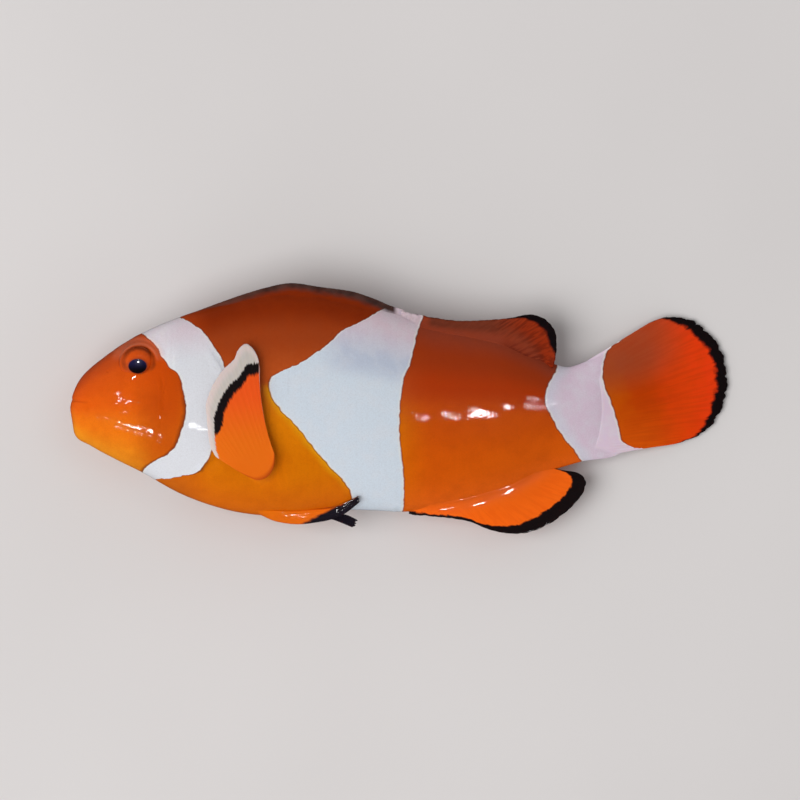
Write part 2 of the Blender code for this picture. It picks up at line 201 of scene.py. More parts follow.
def relief(x, y, upper):
    # how far the skin stands out from the bare surface; upper is 1 on the left flank, 0 on the right
    end, mouth = face["mouthEnd"], y - face["mouthSlope"] * x
    corner = np.hypot(x - end, mouth)
    out = (1 - fade(x, *(end + step for step in face["mouthFade"]))) * swell(mouth, *face["lips"])
    out = out + swell(fromSpot(x, y, face["chin"]), face["chinSwell"])
    out = out + swell(corner, face["mouthPit"])
    out = out + swell(corner, face["mouthFold"]) * fade(x, *face["mouthFoldFrom"])
    jaw = y - face["jawFrom"][1] - face["jawSlope"] * (x - face["jawFrom"][0])
    out = out + swell(jaw, face["jawFold"]) * window(-y, *face["jawSpan"])
    out = out + swell(fromSpot(x, y, face["nostril"]), *face["nostrilFolds"])

    rim, above = fromSpot(x, y, face["orbit"]) - face["orbitRadius"], fade(y - face["orbit"][1], -1.0, 1.2)
    out = out + above * swell(rim, *face["brow"])
    out = out - face["lidSink"] * above * (1 - fade(rim, 0.0, mix(*face["lidReach"], above)))
    out = out - face["socketDepth"] * (1 - fade(rim, *face["socketWall"]))

    out = out + window(y, *face["cheekSpan"]) * swell(x - cheekLine(y), *face["cheekFolds"])
    gill = x - gillLine(y)
    step = swell(gill, face["gillSwell"]) - fade(gill, *face["gillDrop"]) + fade(gill, *face["gillRise"])
    out = out + window(y, *face["gillSpan"]) * face["gillStep"] * step
    lobe = fromSpot(x, y, face["finLobe"], 0.9)
    out = out + upper * face["lobeHeight"] * (1 - fade(lobe, *face["lobeSlope"]))
    out = out + swell(fromSpot(x, y, face["vent"]), *face["ventFolds"])
    onHead = (1 - fade(x, *face["headEnd"])) * fade(rim, 0.3, 1.2)
    return out + ripple(x, y, face["ripples"], upper) + ripple(x, y, face["headRipples"], upper) * onHead


def skinSurface(x, turn, depth=body["coatDepth"]):
    # points of the skin and its outward directions
    step = 0.01
    here = bareSurface(x, turn)
    along = bareSurface(x + step, turn) - bareSurface(np.maximum(x - step, 0), turn)
    outward = unit(np.cross(along, bareSurface(x, turn + step) - bareSurface(x, turn - step)))
    fromAxis = here - np.stack([x, widestLine(x), droopLine(x)], -1)
    outward = outward * np.sign(np.sum(outward * fromAxis, -1, keepdims=True) + 1e-12)
    upper = (np.cos(turn) > 0) * 1.0
    points = here + outward * (relief(here[..., 0], here[..., 1], upper) - depth)[..., None]
    points[..., 2] = np.maximum(points[..., 2], depth)
    return points, outward, unit(along)


def addObject(name, data):
    obj = bpy.data.objects.new(name, data)
    bpy.context.scene.collection.objects.link(obj)
    return obj


def setValues(mesh, values):
    # one number, or one vector, for each point by name
    for key, rows in values.items():
        rows = np.asarray(rows, np.float32)
        kind, field = ("FLOAT_VECTOR", "vector") if rows.ndim == 2 else ("FLOAT", "value")
        mesh.attributes.new(key, kind, "POINT").data.foreach_set(field, rows.ravel())


def readValues(items, key, width=1, kind=np.float32):
    values = np.empty(len(items) * width, kind)
    items.foreach_get(key, values)
    return values.reshape(-1, width) if width > 1 else values


def newMesh(name, points, faces, values):
    # a mesh object from points in millimetres of the drawing, with float values on its points
    mesh = bpy.data.meshes.new(name)
    faces = np.asarray(faces, np.int32)
    mesh.vertices.add(len(points))
    mesh.vertices.foreach_set("co", placed(points).astype(np.float32).ravel())
    mesh.loops.add(faces.size)
    mesh.loops.foreach_set("vertex_index", faces.ravel())
    mesh.polygons.add(len(faces))
    mesh.polygons.foreach_set("loop_start", np.arange(0, faces.size, faces.shape[1], dtype=np.int32))
    mesh.update(calc_edges=True)
    mesh.validate()
    mesh.shade_smooth()
    setValues(mesh, values)
    return addObject(name, mesh)


def gridFaces(rows, columns, wrap=False, flip=False):
    r, c = np.meshgrid(np.arange(rows - 1), np.arange(columns if wrap else columns - 1), indexing="ij")
    right = (c + 1) % columns
    near, far = r * columns, (r + 1) * columns
    quads = np.stack([near + c, near + right, far + right, far + c], -1).reshape(-1, 4)
    return quads[:, ::-1] if flip else quads


def setUv(obj, u, v):
    # a pair for each corner of each face, a little inside the edges of the map
    layer = obj.data.uv_layers.new(name="OFBake")
    layer.data.foreach_set("uv", np.stack([u, v], -1).astype(np.float32).ravel())


def closeEnds(mesh, rings, around, flip=False):
    # fans of triangles from the first and last ring to the two points that follow the rings
    shell = bmesh.new()
    shell.from_mesh(mesh)
    shell.verts.ensure_lookup_table()
    count, last = rings * around, (rings - 1) * around
    for i in range(around):
        a, b = (i, (i + 1) % around) if flip else ((i + 1) % around, i)
        for corners in ((a, b, count), (last + b, last + a, count + 1)):
            shell.faces.new([shell.verts[corner] for corner in corners]).smooth = True
    shell.to_mesh(mesh)
    shell.free()


skinSize = {
    "rings": 328, "around": 288, "start": 0.002, "end": 80.2,
    "snoutSpacing": 0.035, "spacing": 0.16,  # the gaps between rings, twice as wide behind the head
    "uvScale": 0.98, "uvInset": 0.01,
}


def spacedPlaces(count, spacing, start, end):
    # places from start to end whose gaps follow spacing(x)
    x = np.linspace(start, end, 4000)
    travelled = np.concatenate([[0], np.cumsum(np.diff(x) / spacing((x[1:] + x[:-1]) / 2))])
    return np.interp(np.linspace(0, travelled[-1], count), travelled, x)


def unwrapped(x, turn):
    # the place in the skin's map, from the distance behind the snout and the share of a turn
    return (part * skinSize["uvScale"] + skinSize["uvInset"] for part in (x / skinSize["end"], turn))


def makeSkin():
    def spacing(x):
        wide = skinSize["spacing"]
        return mix(skinSize["snoutSpacing"], wide, fade(x, 0, 1.6)) + wide * fade(x, 22, 32)

    rings, around = skinSize["rings"], skinSize["around"]
    places = spacedPlaces(rings, spacing, skinSize["start"], skinSize["end"])
    turns = 2 * math.pi * (np.arange(around) + 0.5) / around
    points = skinSurface(*np.meshgrid(places, turns, indexing="ij"))[0].reshape(-1, 3)
    points = np.concatenate([points, [points[:around].mean(0), points[-around:].mean(0)]])
    obj = newMesh("skin", points, gridFaces(rings, around, wrap=True, flip=True), {})
    mesh = obj.data
    closeEnds(mesh, rings, around, flip=True)
    corners = readValues(mesh.loops, "vertex_index", kind=np.int32)
    ring, spot = np.minimum(corners // around, rings - 1), (corners % around) / around
    starts, totals = (readValues(mesh.polygons, key, kind=np.int32) for key in ("loop_start", "loop_total"))
    highest = np.repeat(np.maximum.reduceat(spot, starts), totals)
    spot = np.where((highest > 0.9) & (spot < 0.1), spot + 1, spot)  # the seam's far side
    setUv(obj, *unwrapped(places[ring], spot))
    return obj


coat = {
    "around": 74,  # scale rows round the body
    "columnShare": 0.0118,  # gap between columns, as a share of the girth
    "first": 7.0, "last": 74.0,
    "lengthOverlap": 1.75, "widthOverlap": 1.42,
    "rootSink": 0.03, "tipRise": 0.03, "thickness": 0.02,
    "rimShare": 0.6,  # how much of the thickness lies over the middle of a scale
    "relief": 0.2, "sharpTip": 0.1,
    "roundness": (0.44, 0.575),  # where a scale is widest, and half the length of its oval
    "patch": 0.003, "seamShift": 0.002,  # the size of a scale in the skin's map, and how far all are moved
    "splits": (0, 35.0, 57.0, 99),
    "bare": 8.2, "eyeRoom": 3.2, "lobeRoom": 1.9, "tailRoom": 0.6,  # where the scales end
    "fullGrown": 2.2, "smallest": 0.3,  # the distance from there to whole scales, and the smallest kept
    "strayLie": 0.03, "straySize": 0.025,
    "floorGap": 0.01, "sharpAngle": 50,
}


def scalePlate():
    # one flat scale, root at y = 0, tip at y = 1; rise keeps the height of its two faces over the skin
    rows, columns = 5, 5
    v, u = np.meshgrid(np.linspace(0, 1, rows), np.linspace(-1, 1, columns), indexing="ij")
    widest, length = coat["roundness"]
    half = 0.5 * np.sqrt(np.clip(1 - ((v - widest) / length) ** 2, 0.02, 1))
    across, along = u * half, v - coat["sharpTip"] * u**2 * (v > 0.9)
    rim = (np.abs(u) > 0.99) | (v < 0.01) | (v > 0.99)
    base, over = mix(-coat["rootSink"], coat["tipRise"], v**0.8), coat["rimShare"]
    top, bottom = base + np.where(rim, 0, coat["thickness"] * over), base - coat["thickness"] * (1 - over)
    flat, index = rim.ravel(), np.arange(rows * columns)
    index[~flat] = rows * columns + np.arange((~flat).sum())
    sheet = np.stack([across, along, 0 * along], -1).reshape(-1, 3)
    points = np.concatenate([sheet, sheet[~flat]])
    rise = np.concatenate([top.ravel(), bottom.ravel()[~flat]]) * mm
    faces = np.concatenate([gridFaces(rows, columns), index[gridFaces(rows, columns, flip=True)]])
    mesh = bpy.data.meshes.new("scalePlate")
    mesh.from_pydata(points.tolist(), [], faces.tolist())
    setValues(mesh, {"across": points[:, 0], "along": points[:, 1], "rise": rise})
    return addObject("scalePlate", mesh)


def scaleColumns():
    # the places of the columns of scales, the gap between two at a place, and the girth there
    turns = np.linspace(0, 2 * math.pi, 721)
    stations = np.linspace(0.5, coat["last"], 300)
    girths = lengths(np.diff(bareSurface(*np.meshgrid(stations, turns, indexing="ij")), axis=1)).sum(1)

    def girthAt(place):
        return np.interp(place, stations, girths)

    def gapAt(place):
        return coat["columnShare"] * girthAt(place)

    whole = np.linspace(coat["first"], coat["last"], 4000)
    count = int(np.sum(np.diff(whole) / gapAt(whole[1:])))
    return turns, spacedPlaces(count, gapAt, coat["first"], coat["last"]), gapAt, girthAt


def scaleRoom(x, y, turn):
    # how far a scale stands from the bare head, the eyes, the left breast fin's lobe and the tail
    bareHead = x - coat["bare"] - 0.5 * np.maximum(y - 1, 0) + 0.12 * np.maximum(-3 - y, 0)
    room = np.minimum(fromSpot(x, y, face["orbit"]) - coat["eyeRoom"], bareHead)
    lobe = fromSpot(x, y, face["finLobe"]) - coat["lobeRoom"]
    room = np.where(np.cos(turn) > 0, np.minimum(room, lobe), room)
    return np.minimum(room, coat["last"] + coat["tailRoom"] - x)


def scaleRoots():
    # where scales grow, which way they lie, how large and how bent each is
    turns, columns, gapAt, girthAt = scaleColumns()
    rows = coat["around"]
    spots = []
    for number, place in enumerate(columns):
        ring = bareSurface(np.full(len(turns), place), turns)
        run = np.concatenate([[0], np.cumsum(lengths(np.diff(ring, axis=0)))])
        share = (np.arange(rows) + 0.5 * (number % 2) + 0.25) / rows
        spots.append([np.full(rows, place), np.interp(share * run[-1], run, turns)])
    x, turn = np.concatenate(spots, axis=1)
    points, outward, lie = skinSurface(x, turn)
    size = np.clip(scaleRoom(x, points[:, 1], turn) / coat["fullGrown"], 0, 1) ** 0.6
    keep = size > coat["smallest"]
    lie = unit(lie + unit(np.cross(outward, lie)) * rng.normal(0, coat["strayLie"], len(x))[:, None])
    size = size * (1 + rng.normal(0, coat["straySize"], len(x)))
    u, v = unwrapped(x, turn / (2 * math.pi) % 1)
    values = {"out": outward, "lie": lie, "wide": girthAt(x) / rows * coat["widthOverlap"] * size * mm,
              "long": gapAt(x) * coat["lengthOverlap"] * size * mm, "lift": mix(0.3, 1, fade(x, 9, 16)),
              "rootU": u, "rootV": v - coat["seamShift"]}
    return points[keep], {key: value[keep] for key, value in values.items()}


def scaleTree():
    # grows one scale on each point, turned by out and lie, then wraps them onto the skin at their own rise
    tree = bpy.data.node_groups.new("growScales", "GeometryNodeTree")
    sockets = {}
    for name, kind in (("Geometry", "NodeSocketGeometry"), ("Scale Plate", "NodeSocketObject"),
                       ("Skin", "NodeSocketObject"), ("Skin Material", "NodeSocketMaterial"),
                       ("Relief", "NodeSocketFloat")):
        sockets[name] = tree.interface.new_socket(name, in_out="INPUT", socket_type=kind)
    tree.interface.new_socket("Geometry", in_out="OUTPUT", socket_type="NodeSocketGeometry")

    def add(kind, settings=None, **links):
        node = tree.nodes.new(kind)
        for key, value in (settings or {}).items():
            setattr(node, key, value)
        for key, value in links.items():
            socket = node.inputs[int(key[1:]) if key[1:].isdigit() else key.replace("_", " ")]
            if isinstance(value, bpy.types.NodeSocket):
                tree.links.new(value, socket)
            else:
                socket.default_value = value
        return node

    def named(name, kind="FLOAT"):
        return add("GeometryNodeInputNamedAttribute", {"data_type": kind}, Name=name).outputs["Attribute"]

    start = tree.nodes.new("NodeGroupInput")
    plate = add("GeometryNodeObjectInfo", Object=start.outputs["Scale Plate"])
    under = add("GeometryNodeObjectInfo", Object=start.outputs["Skin"])
    turned = add("FunctionNodeAlignRotationToVector", {"axis": "Z"}, Vector=named("out", "FLOAT_VECTOR"))
    turned = add("FunctionNodeAlignRotationToVector", {"axis": "Y", "pivot_axis": "Z"},
                 Rotation=turned.outputs[0], Vector=named("lie", "FLOAT_VECTOR"))
    size = add("ShaderNodeCombineXYZ", X=named("wide"), Y=named("long"), Z=1.0)
    points = add("GeometryNodeMeshToPoints", Mesh=start.outputs["Geometry"])
    grown = add("GeometryNodeInstanceOnPoints", Points=points.outputs[0], Instance=plate.outputs["Geometry"],
                Rotation=turned.outputs[0], Scale=size.outputs[0])
    real = add("GeometryNodeRealizeInstances", Geometry=grown.outputs[0])
    here = add("GeometryNodeInputPosition")
    away = add("GeometryNodeInputNormal")
    touch, facing = (
        add("GeometryNodeSampleNearestSurface", {"data_type": "FLOAT_VECTOR"}, Mesh=under.outputs["Geometry"],
            Value=field.outputs[0], Sample_Position=here.outputs[0]) for field in (here, away))
    tall = add("ShaderNodeMath", {"operation": "MULTIPLY"}, i0=named("rise"), i1=start.outputs["Relief"])
    height = add("ShaderNodeMath", {"operation": "MULTIPLY"}, i0=tall.outputs[0], i1=named("lift"))
    lift = add("ShaderNodeVectorMath", {"operation": "SCALE"}, i0=facing.outputs[0], Scale=height.outputs[0])
    place = add("ShaderNodeVectorMath", {"operation": "ADD"}, i0=touch.outputs[0], i1=lift.outputs[0])
    wrapped = add("GeometryNodeSetPosition", Geometry=real.outputs[0], Position=place.outputs[0])
    painted = add("GeometryNodeSetMaterial", Geometry=wrapped.outputs[0],
                  Material=start.outputs["Skin Material"])
    end = tree.nodes.new("NodeGroupOutput")
    tree.links.new(painted.outputs[0], end.inputs[0])
    return tree, {name: socket.identifier for name, socket in sockets.items()}


def makeCoat(material, skin):
    plate = scalePlate()
    tree, inputs = scaleTree()
    points, values = scaleRoots()
    given = {"Scale Plate": plate, "Skin": skin, "Skin Material": material, "Relief": coat["relief"]}
    made = []
    for place, low, high in zip(("Front", "Middle", "Rear"), coat["splits"], coat["splits"][1:]):
        chosen = (points[:, 0] >= low) & (points[:, 0] < high)
        mesh = bpy.data.meshes.new("scaleRoots")
        mesh.from_pydata(placed(points[chosen]).tolist(), [], [])
        setValues(mesh, {key: rows[chosen] for key, rows in values.items()})
        grower = addObject("scaleRoots", mesh)
        growth = grower.modifiers.new("growScales", "NODES")
        growth.node_group = tree
        for name, value in given.items():
            growth[inputs[name]] = value
        bpy.context.view_layer.update()
        grown = grower.evaluated_get(bpy.context.evaluated_depsgraph_get())
        piece = addObject("scales" + place, bpy.data.meshes.new_from_object(grown))
        bpy.data.objects.remove(grower)
        finishCoat(piece)
        made.append(piece)
        print(piece.name, "with", int(chosen.sum()), "scales and", len(piece.data.polygons), "faces")
    bpy.data.objects.remove(plate)
    return made


def finishCoat(piece):
    # each scale gets its own small patch of the skin's unwrap, and nothing goes under the floor
    mesh = piece.data
    names = ("rootU", "rootV", "across", "along")
    read = {key: readValues(mesh.attributes[key].data, "value") for key in names}
    corners = readValues(mesh.loops, "vertex_index", kind=np.int32)
    u = read["rootU"] + coat["patch"] * (read["along"] - 0.5)
    v = read["rootV"] + coat["patch"] * read["across"]
    setUv(piece, u[corners], v[corners])
    places = readValues(mesh.vertices, "co", 3)
    places[:, 2] = np.maximum(places[:, 2], coat["floorGap"] * mm)
    mesh.vertices.foreach_set("co", places.ravel())
    mesh.shade_smooth()
    mesh.set_sharp_from_angle(angle=math.radians(coat["sharpAngle"]))
    for key in ("out", "lie", "wide", "long", "rise", "lift", "rootU", "rootV"):
        if key in mesh.attributes:
            mesh.attributes.remove(mesh.attributes[key])
    mesh.update()


def unevenLine(share, waves):
    # a soft random line along a margin, from -1 to 1
    heights = rng.uniform(-1, 1, waves + 2)
    return curve(list(zip(np.linspace(0, 1, waves + 2), heights)))(share)


def rayCrest(across, out, size):
    # 1 on the crest of a fin ray, 0 on the membrane; rays split in two past fork, and again near the margin
    spot, fork = across * size["rays"], size["fork"]
    number = np.clip(np.floor(spot), 0, size["rays"] - 1)
    local = spot - number - 0.5
    spread = size["split"][0] * fade(out, fork, 1.15)
    second = size["split"][1] * fade(out, fork + 0.3, 1.25)
    branch = (1, 0, mix(*size["rayWidth"], fade(out, fork, 1)))
    crests = [swell(local - a * spread - b * second, branch) for a in (-1, 1) for b in (-1, 1)]
    return np.maximum.reduce(crests), number.astype(int)


def sheath(size, place, fromRoot, sides):
    # what a fin is thicker near its root: where it hugs, it leaves the body's own surface without a step
    reach, step = size["sheathReach"], size["slopeStep"]
    if not size["hug"]:
        return size["sheath"] * (1 - fade(fromRoot, 0.3, reach))
    here, ahead = (halfThickness(*(place[0] + n * step * unit(place[1] - place[0])).T) for n in (0, 1))
    t = np.clip(fromRoot / reach, 0, 1)
    extra = (here - size["rootHalf"] - size["hugGap"]) * (1 - fade(t, 0, 1))
    extra = extra - (here - ahead) / step * reach * t * (1 - t) ** 2
    side = np.clip(sides / size["hug"], 0, 1)
    dip = size["dipDepth"] * (1 - fade(fromRoot, 0, size["dip"]))
    return np.maximum(extra, 0) * np.sqrt(1 - (1 - side) ** 2) - dip


def makeFin(name, size, plan, middle):
    # plan gives places by across and out, from 0 to 1, and middle the height of the fin's middle surface
    rays, rows, columns = size["rays"], size["rows"] + 1, size["rays"] * size["perRay"] + 1
    across, out = np.meshgrid(np.linspace(0, 1, columns), np.linspace(0, 1, rows) ** size["rowEase"])
    crest, number = rayCrest(across, out, size)
    length = lengths(np.diff(plan(across, out), axis=0)).sum(0)
    lumps = 1 - np.sqrt(np.abs(unevenLine(across[0], size["waves"])))
    notch = size["notch"] * (1 - crest[-1]) + size["ragged"] * 2 * lumps
    place = plan(across, out * (1 - notch / np.maximum(length, 1) * out ** size["notchEase"]))
    steps = np.cumsum(lengths(np.diff(place, axis=0)), axis=0)
    fromRoot = np.concatenate([np.zeros((1, columns)), steps])
    rim, start = fromRoot[-1] - fromRoot, size["rayStart"]
    sides = np.minimum(across, 1 - across) * rays
    half = mix(size["rimHalf"], size["rootHalf"], (1 - out) ** size["halfEase"])
    half = half * mix(size["sideHalf"], 1, fade(sides, 0, size["sideReach"]))
    half = half * mix(size["edgeHalf"], 1, fade(rim, -0.02, size["edgeReach"]))
    half = np.maximum(half + sheath(size, place, fromRoot, sides), size["thinnest"])
    half = half + crest * size["ray"] * fade(fromRoot, start, start * 2) * fade(rim, 0, 0.9)
    height = middle(place[..., 0], place[..., 1], across, out)
    height = height + size["pleat"] * (crest - 0.5) * fade(out, 0.1, 0.6)
    layers = [np.dstack([place, np.maximum(height + side * half, size["floorGap"])]) for side in (1, -1)]
    points = np.concatenate([layer.reshape(-1, 3) for layer in layers])
    index = np.arange(rows * columns).reshape(rows, columns)
    loop = np.concatenate([index[0], index[1:, -1], index[-1, -2::-1], index[-2:0:-1, 0]])
    after = np.roll(loop, -1)
    walls = np.stack([loop, loop + index.size, after + index.size, after], -1)
    sheet, back = gridFaces(rows, columns), gridFaces(rows, columns, flip=True) + index.size
    values = {"rim": rim, "ridge": crest * fade(fromRoot, size["sink"], size["sink"] + 3), "across": across,
              "out": out, "rayTone": rng.random(rays)[number]}
    obj = newMesh(name, points, np.concatenate([sheet, back, walls]),
                  {key: np.tile(value.ravel(), 2) for key, value in values.items()})
    if sum(quad.normal.z for quad in obj.data.polygons[: len(sheet)]) < 0:
        obj.data.flip_normals()
    return obj


finShape = {  # what the fins have in common, in millimetres or in shares of a ray's spacing or reach
    "perRay": 14, "rows": 48, "rowEase": 0.85, "fork": 0.45, "notch": 0.06, "ragged": 0.07, "waves": 22,
    "rootHalf": 0.45, "rimHalf": 0.1, "thinnest": 0.04, "ray": 0.02, "rayStart": 2.5, "pleat": 0.0,
    "lean": 0.0, "split": (0.24, 0.11), "rayWidth": (0.22, 0.12), "notchEase": 6, "halfEase": 1.2,
    "sideHalf": 0.5, "sideReach": 0.4, "edgeHalf": 0.4, "edgeReach": 0.12, "sink": 1.2, "hug": 2.2,
    "hugGap": 0.06, "slopeStep": 0.3, "sheath": 0.0, "sheathReach": 5.0, "dip": 0.3, "dipDepth": 0.3,
    "floorGap": 0.015,
}
spinyFin = dict(finShape, rays=11, rows=16, fork=3, notch=0.03, ragged=0.01, waves=14, rimHalf=0.16, ray=0.03,
                sheathReach=2.2, base=(16.5, 45.6), top=[
                    (16.5, 11.9), (19.3, 12.95), (23.1, 14.3), (26.5, 15.35), (30, 16.0), (34.3, 15.45),
                    (38.5, 14.85), (41.5, 13.85), (43.6, 12.95), (44.6, 12.65), (45.6, 12.3)])
softFin = dict(finShape, rays=14, rootHalf=0.3, pleat=0.08, ray=0.03, lean=1.6, base=(44.8, 64.2), margin=[
    (44.9, 12.35), (46, 12.08), (48.3, 11.58), (50, 11.27), (53.2, 10.9), (59.6, 11.2), (62.7, 11.75),
    (64.5, 11.4), (65.8, 10.3), (66.5, 8.6), (66.5, 6.4), (66.1, 4.3)])
analFin = dict(finShape, rays=13, dip=0.6, base=(46.3, 65.0), margin=[
    (46.2, -15.75), (50.8, -16.1), (54.5, -16.7), (57.5, -17.9), (60.9, -18.4), (64.2, -17.7), (67.7, -15.5),
    (69.8, -13.3), (70.6, -11.3), (69.6, -10.05), (67.2, -9.65)])
tailFin = dict(finShape, rays=17, rows=84, fork=0.5, ragged=0.24, waves=24, notch=0.1, ray=0.006,
               rootHalf=0.4, sink=3.0, sheathReach=11.0, dip=0.7, rayStart=6.0, centre=(67.0, -1.2),
               margin=[(-21.6, 13.9), (-16.8, 16.7), (-8.5, 20.4), (-0.5, 22.3), (8.7, 23.4), (20, 23.8),
                       (27.6, 23.1), (35, 21.7), (41, 19.2), (43.7, 17.4)],
               root=[(70.2, -8.35), (71.4, -5.5), (72, -1.2), (71.4, 3.4), (70.3, 5.15)])
breastFin = dict(finShape, rays=16, rows=64, perRay=12, ragged=0.07, ray=0.014, waves=12, notch=0.03,
                 rootHalf=0.5, sink=0.5, hug=0, sheath=0.1, sheathReach=2.7, rimHalf=0.09, bow=-0.62,
                 stand=(0.95, 0.9),  # over the flank, at its root and margin
                 margin=[(25.95, 4.3), (25.7, 5.7), (25.0, 7.0), (24.0, 7.68), (23.0, 6.9), (22.45, 5.7),
                         (21.2, 4.5), (20.1, 3.0), (19.2, 1.4), (18.6, -0.5), (18.7, -2.4), (18.9, -4.6),
                         (19.2, -6.3), (19.9, -7.7)],
                 root=[(28.0, -7.4), (27.8, -9.2), (26.9, -10.5), (25.8, -10.9), (24.9, -10.7), (22.8, -9.6)])
lowerBreastFin = dict(finShape, rays=15, rows=40, perRay=8, sink=0.3, rootHalf=0.2, hug=0, ray=0.04,
                      level=0.3, centre=(22.2, -10.6), root=[(24.4, -12.6), (23.9, -11.2), (24.2, -9.2)],
                      margin=[(-17, 14.5), (-12, 16.0), (-5, 16.8), (1, 16.2), (5, 14.3)])
bellyFin = dict(finShape, rays=6, perRay=12, rows=44, notch=0.1, ragged=0.2, waves=7, rootHalf=0.3, hug=0,
                sink=0.5, pleat=0.015, ray=0.012, bulge={"left": 0.24, "right": 0.1},
                left=([(24.4, -14.6, 1.25), (26.0, -15.0, 1.35), (28.5, -15.05, 1.7), (30.5, -15.1, 1.5),
                       (33, -14.95, 1.4), (35.7, -14.7, 1.65), (37.5, -14.0, 2.45), (39.45, -13.0, 3.4)],
                      [(24.4, -15.0, 0.5), (26.0, -15.75, 0.25), (28, -16.6, 0.3), (31, -17.0, 0.4),
                       (33.5, -16.75, 0.6), (35.5, -16.35, 1.0), (37.5, -15.5, 1.9), (39.6, -13.85, 2.8)]),
                right=([(29, -15.7, -0.5), (33, -15.9, -1.0), (36, -15.7, -1.3), (37.6, -15.7, -1.5),
                        (39.3, -16.5, -1.7)],
                       [(29, -16.0, -1.0), (33, -16.4, -1.5), (35.5, -16.35, -1.7), (36.5, -16.65, -1.8),
                        (38.8, -17.6, -2.0)]))


def fan(root, tip, bow=0.0):
    # straight rays from the root line to the margin, the first of them bowed
    def plan(across, out):
        place = mix(root(across), tip(across), out[..., None])
        place[..., 0] += bow * 4 * out * (1 - out) * (1 - across) ** 2
        return place

    return plan


def polarMargin(size):
    # a margin given by its distance from a centre at each angle
    reach, ends = curve(size["margin"]), (size["margin"][0][0], size["margin"][-1][0])

    def at(share):
        angle = mix(*ends, share)
        turn = np.radians(angle)
        return np.array(size["centre"]) + reach(angle)[..., None] * np.stack([np.cos(turn), np.sin(turn)], -1)

    return at


def alongX(ends, height):
    # a line over a stretch of the fish, at a height that follows x
    def at(share):
        x = mix(*ends, share)
        return np.stack([x, height(x)], -1)

    return at


def edgeFin(name, size, line, sign):
    # a fin on the back or belly line, whose margin is a path or a height by x
    root = alongX(size["base"], lambda x: line(x) - sign * size["sink"])
    tip = alongX(size["base"], curve(size["top"])) if "top" in size else path(size["margin"])

    def middle(x, y, across, out):
        return droopLine(x) + size["lean"] * out**2 * across**3

    return makeFin(name, size, fan(root, tip), middle)


def makeTailFin():
    plan = fan(path(tailFin["root"]), polarMargin(tailFin))
    return makeFin("tailFin", tailFin, plan, lambda x, y, across, out: droopLine(x))


def makeBreastFins():
    def raised(x, y, across, out):
        return droopLine(x) + halfThickness(x, y) + mix(*breastFin["stand"], out)

    def flat(x, y, across, out):
        return lowerBreastFin["level"] + 0 * x

    upperPlan = fan(path(breastFin["root"]), path(breastFin["margin"]), breastFin["bow"])
    lowerPlan = fan(path(lowerBreastFin["root"]), polarMargin(lowerBreastFin))
    return (makeFin("breastFinLeft", breastFin, upperPlan, raised),
            makeFin("breastFinRight", lowerBreastFin, lowerPlan, flat))


def makeBellyFin(side):
    # between an upper and a lower edge, given with their heights over the body's middle
    upper, lower = (path(line) for line in bellyFin[side])

    def edges(across, out):
        return mix(upper(out), lower(out), across[..., None])

    def plan(across, out):
        return edges(across, out)[..., :2]

    def middle(x, y, across, out):
        return droopLine(x) + edges(across, out)[..., 2] + bellyFin["bulge"][side] * 4 * across * (1 - across)

    return makeFin("bellyFin" + side.title(), bellyFin, plan, middle)


def srgb(red, green, blue):
    # a colour as a screen shows it, 0 to 255, as the shaders read it
    def linear(level):
        level /= 255
        return level / 12.92 if level <= 0.04045 else ((level + 0.055) / 1.055) ** 2.4

    return linear(red), linear(green), linear(blue), 1.0


class Signal:
    # a shader socket whose arithmetic adds Math nodes
    def __init__(self, paint, socket):
        self.paint, self.socket = paint, socket

    def math(self, operation, *others):
        return self.paint.node("ShaderNodeMath", {"operation": operation}, [self, *others])

    def __add__(self, other):
        return self.math("ADD", other)

    def __sub__(self, other):
        return self.math("SUBTRACT", other)

    def __rsub__(self, other):
        return self.paint.node("ShaderNodeMath", {"operation": "SUBTRACT"}, [other, self])

    def __mul__(self, other):
        return self.math("MULTIPLY", other)

    def __truediv__(self, other):
        return self.math("DIVIDE", other)

    __radd__, __rmul__ = __add__, __mul__

    def atMost(self, other):
        return self.math("MINIMUM", other)

    def atLeast(self, other):
        return self.math("MAXIMUM", other)

    def fade(self, low, high):
        # 0 up to low and 1 from high, eased; with low above high it runs the other way
        if low > high:
            return 1 - self.fade(high, low)
        ease = {"interpolation_type": "SMOOTHSTEP"}
        return self.paint.node("ShaderNodeMapRange", ease, [self, low, high, 0.0, 1.0])

    def window(self, start, full, last, end):
        # up from 0 to 1, and down again
        return self.fade(start, full) * self.fade(end, last)

    def line(self, knots):
        # the value at this place of a line through (place, value) knots
        places, values = zip(*sorted(knots))
        low, high = min(values), max(values)
        reach = places[-1] - places[0]
        spots = [((a - places[0]) / reach, (b - low) / (high - low)) for a, b in zip(places, values)]
        share = self.paint.node("ShaderNodeMapRange", {}, [self, places[0], places[-1], 0.0, 1.0])
        read = self.paint.node("ShaderNodeFloatCurve", {"points": spots}, {"Value": share})
        return read * (high - low) + low


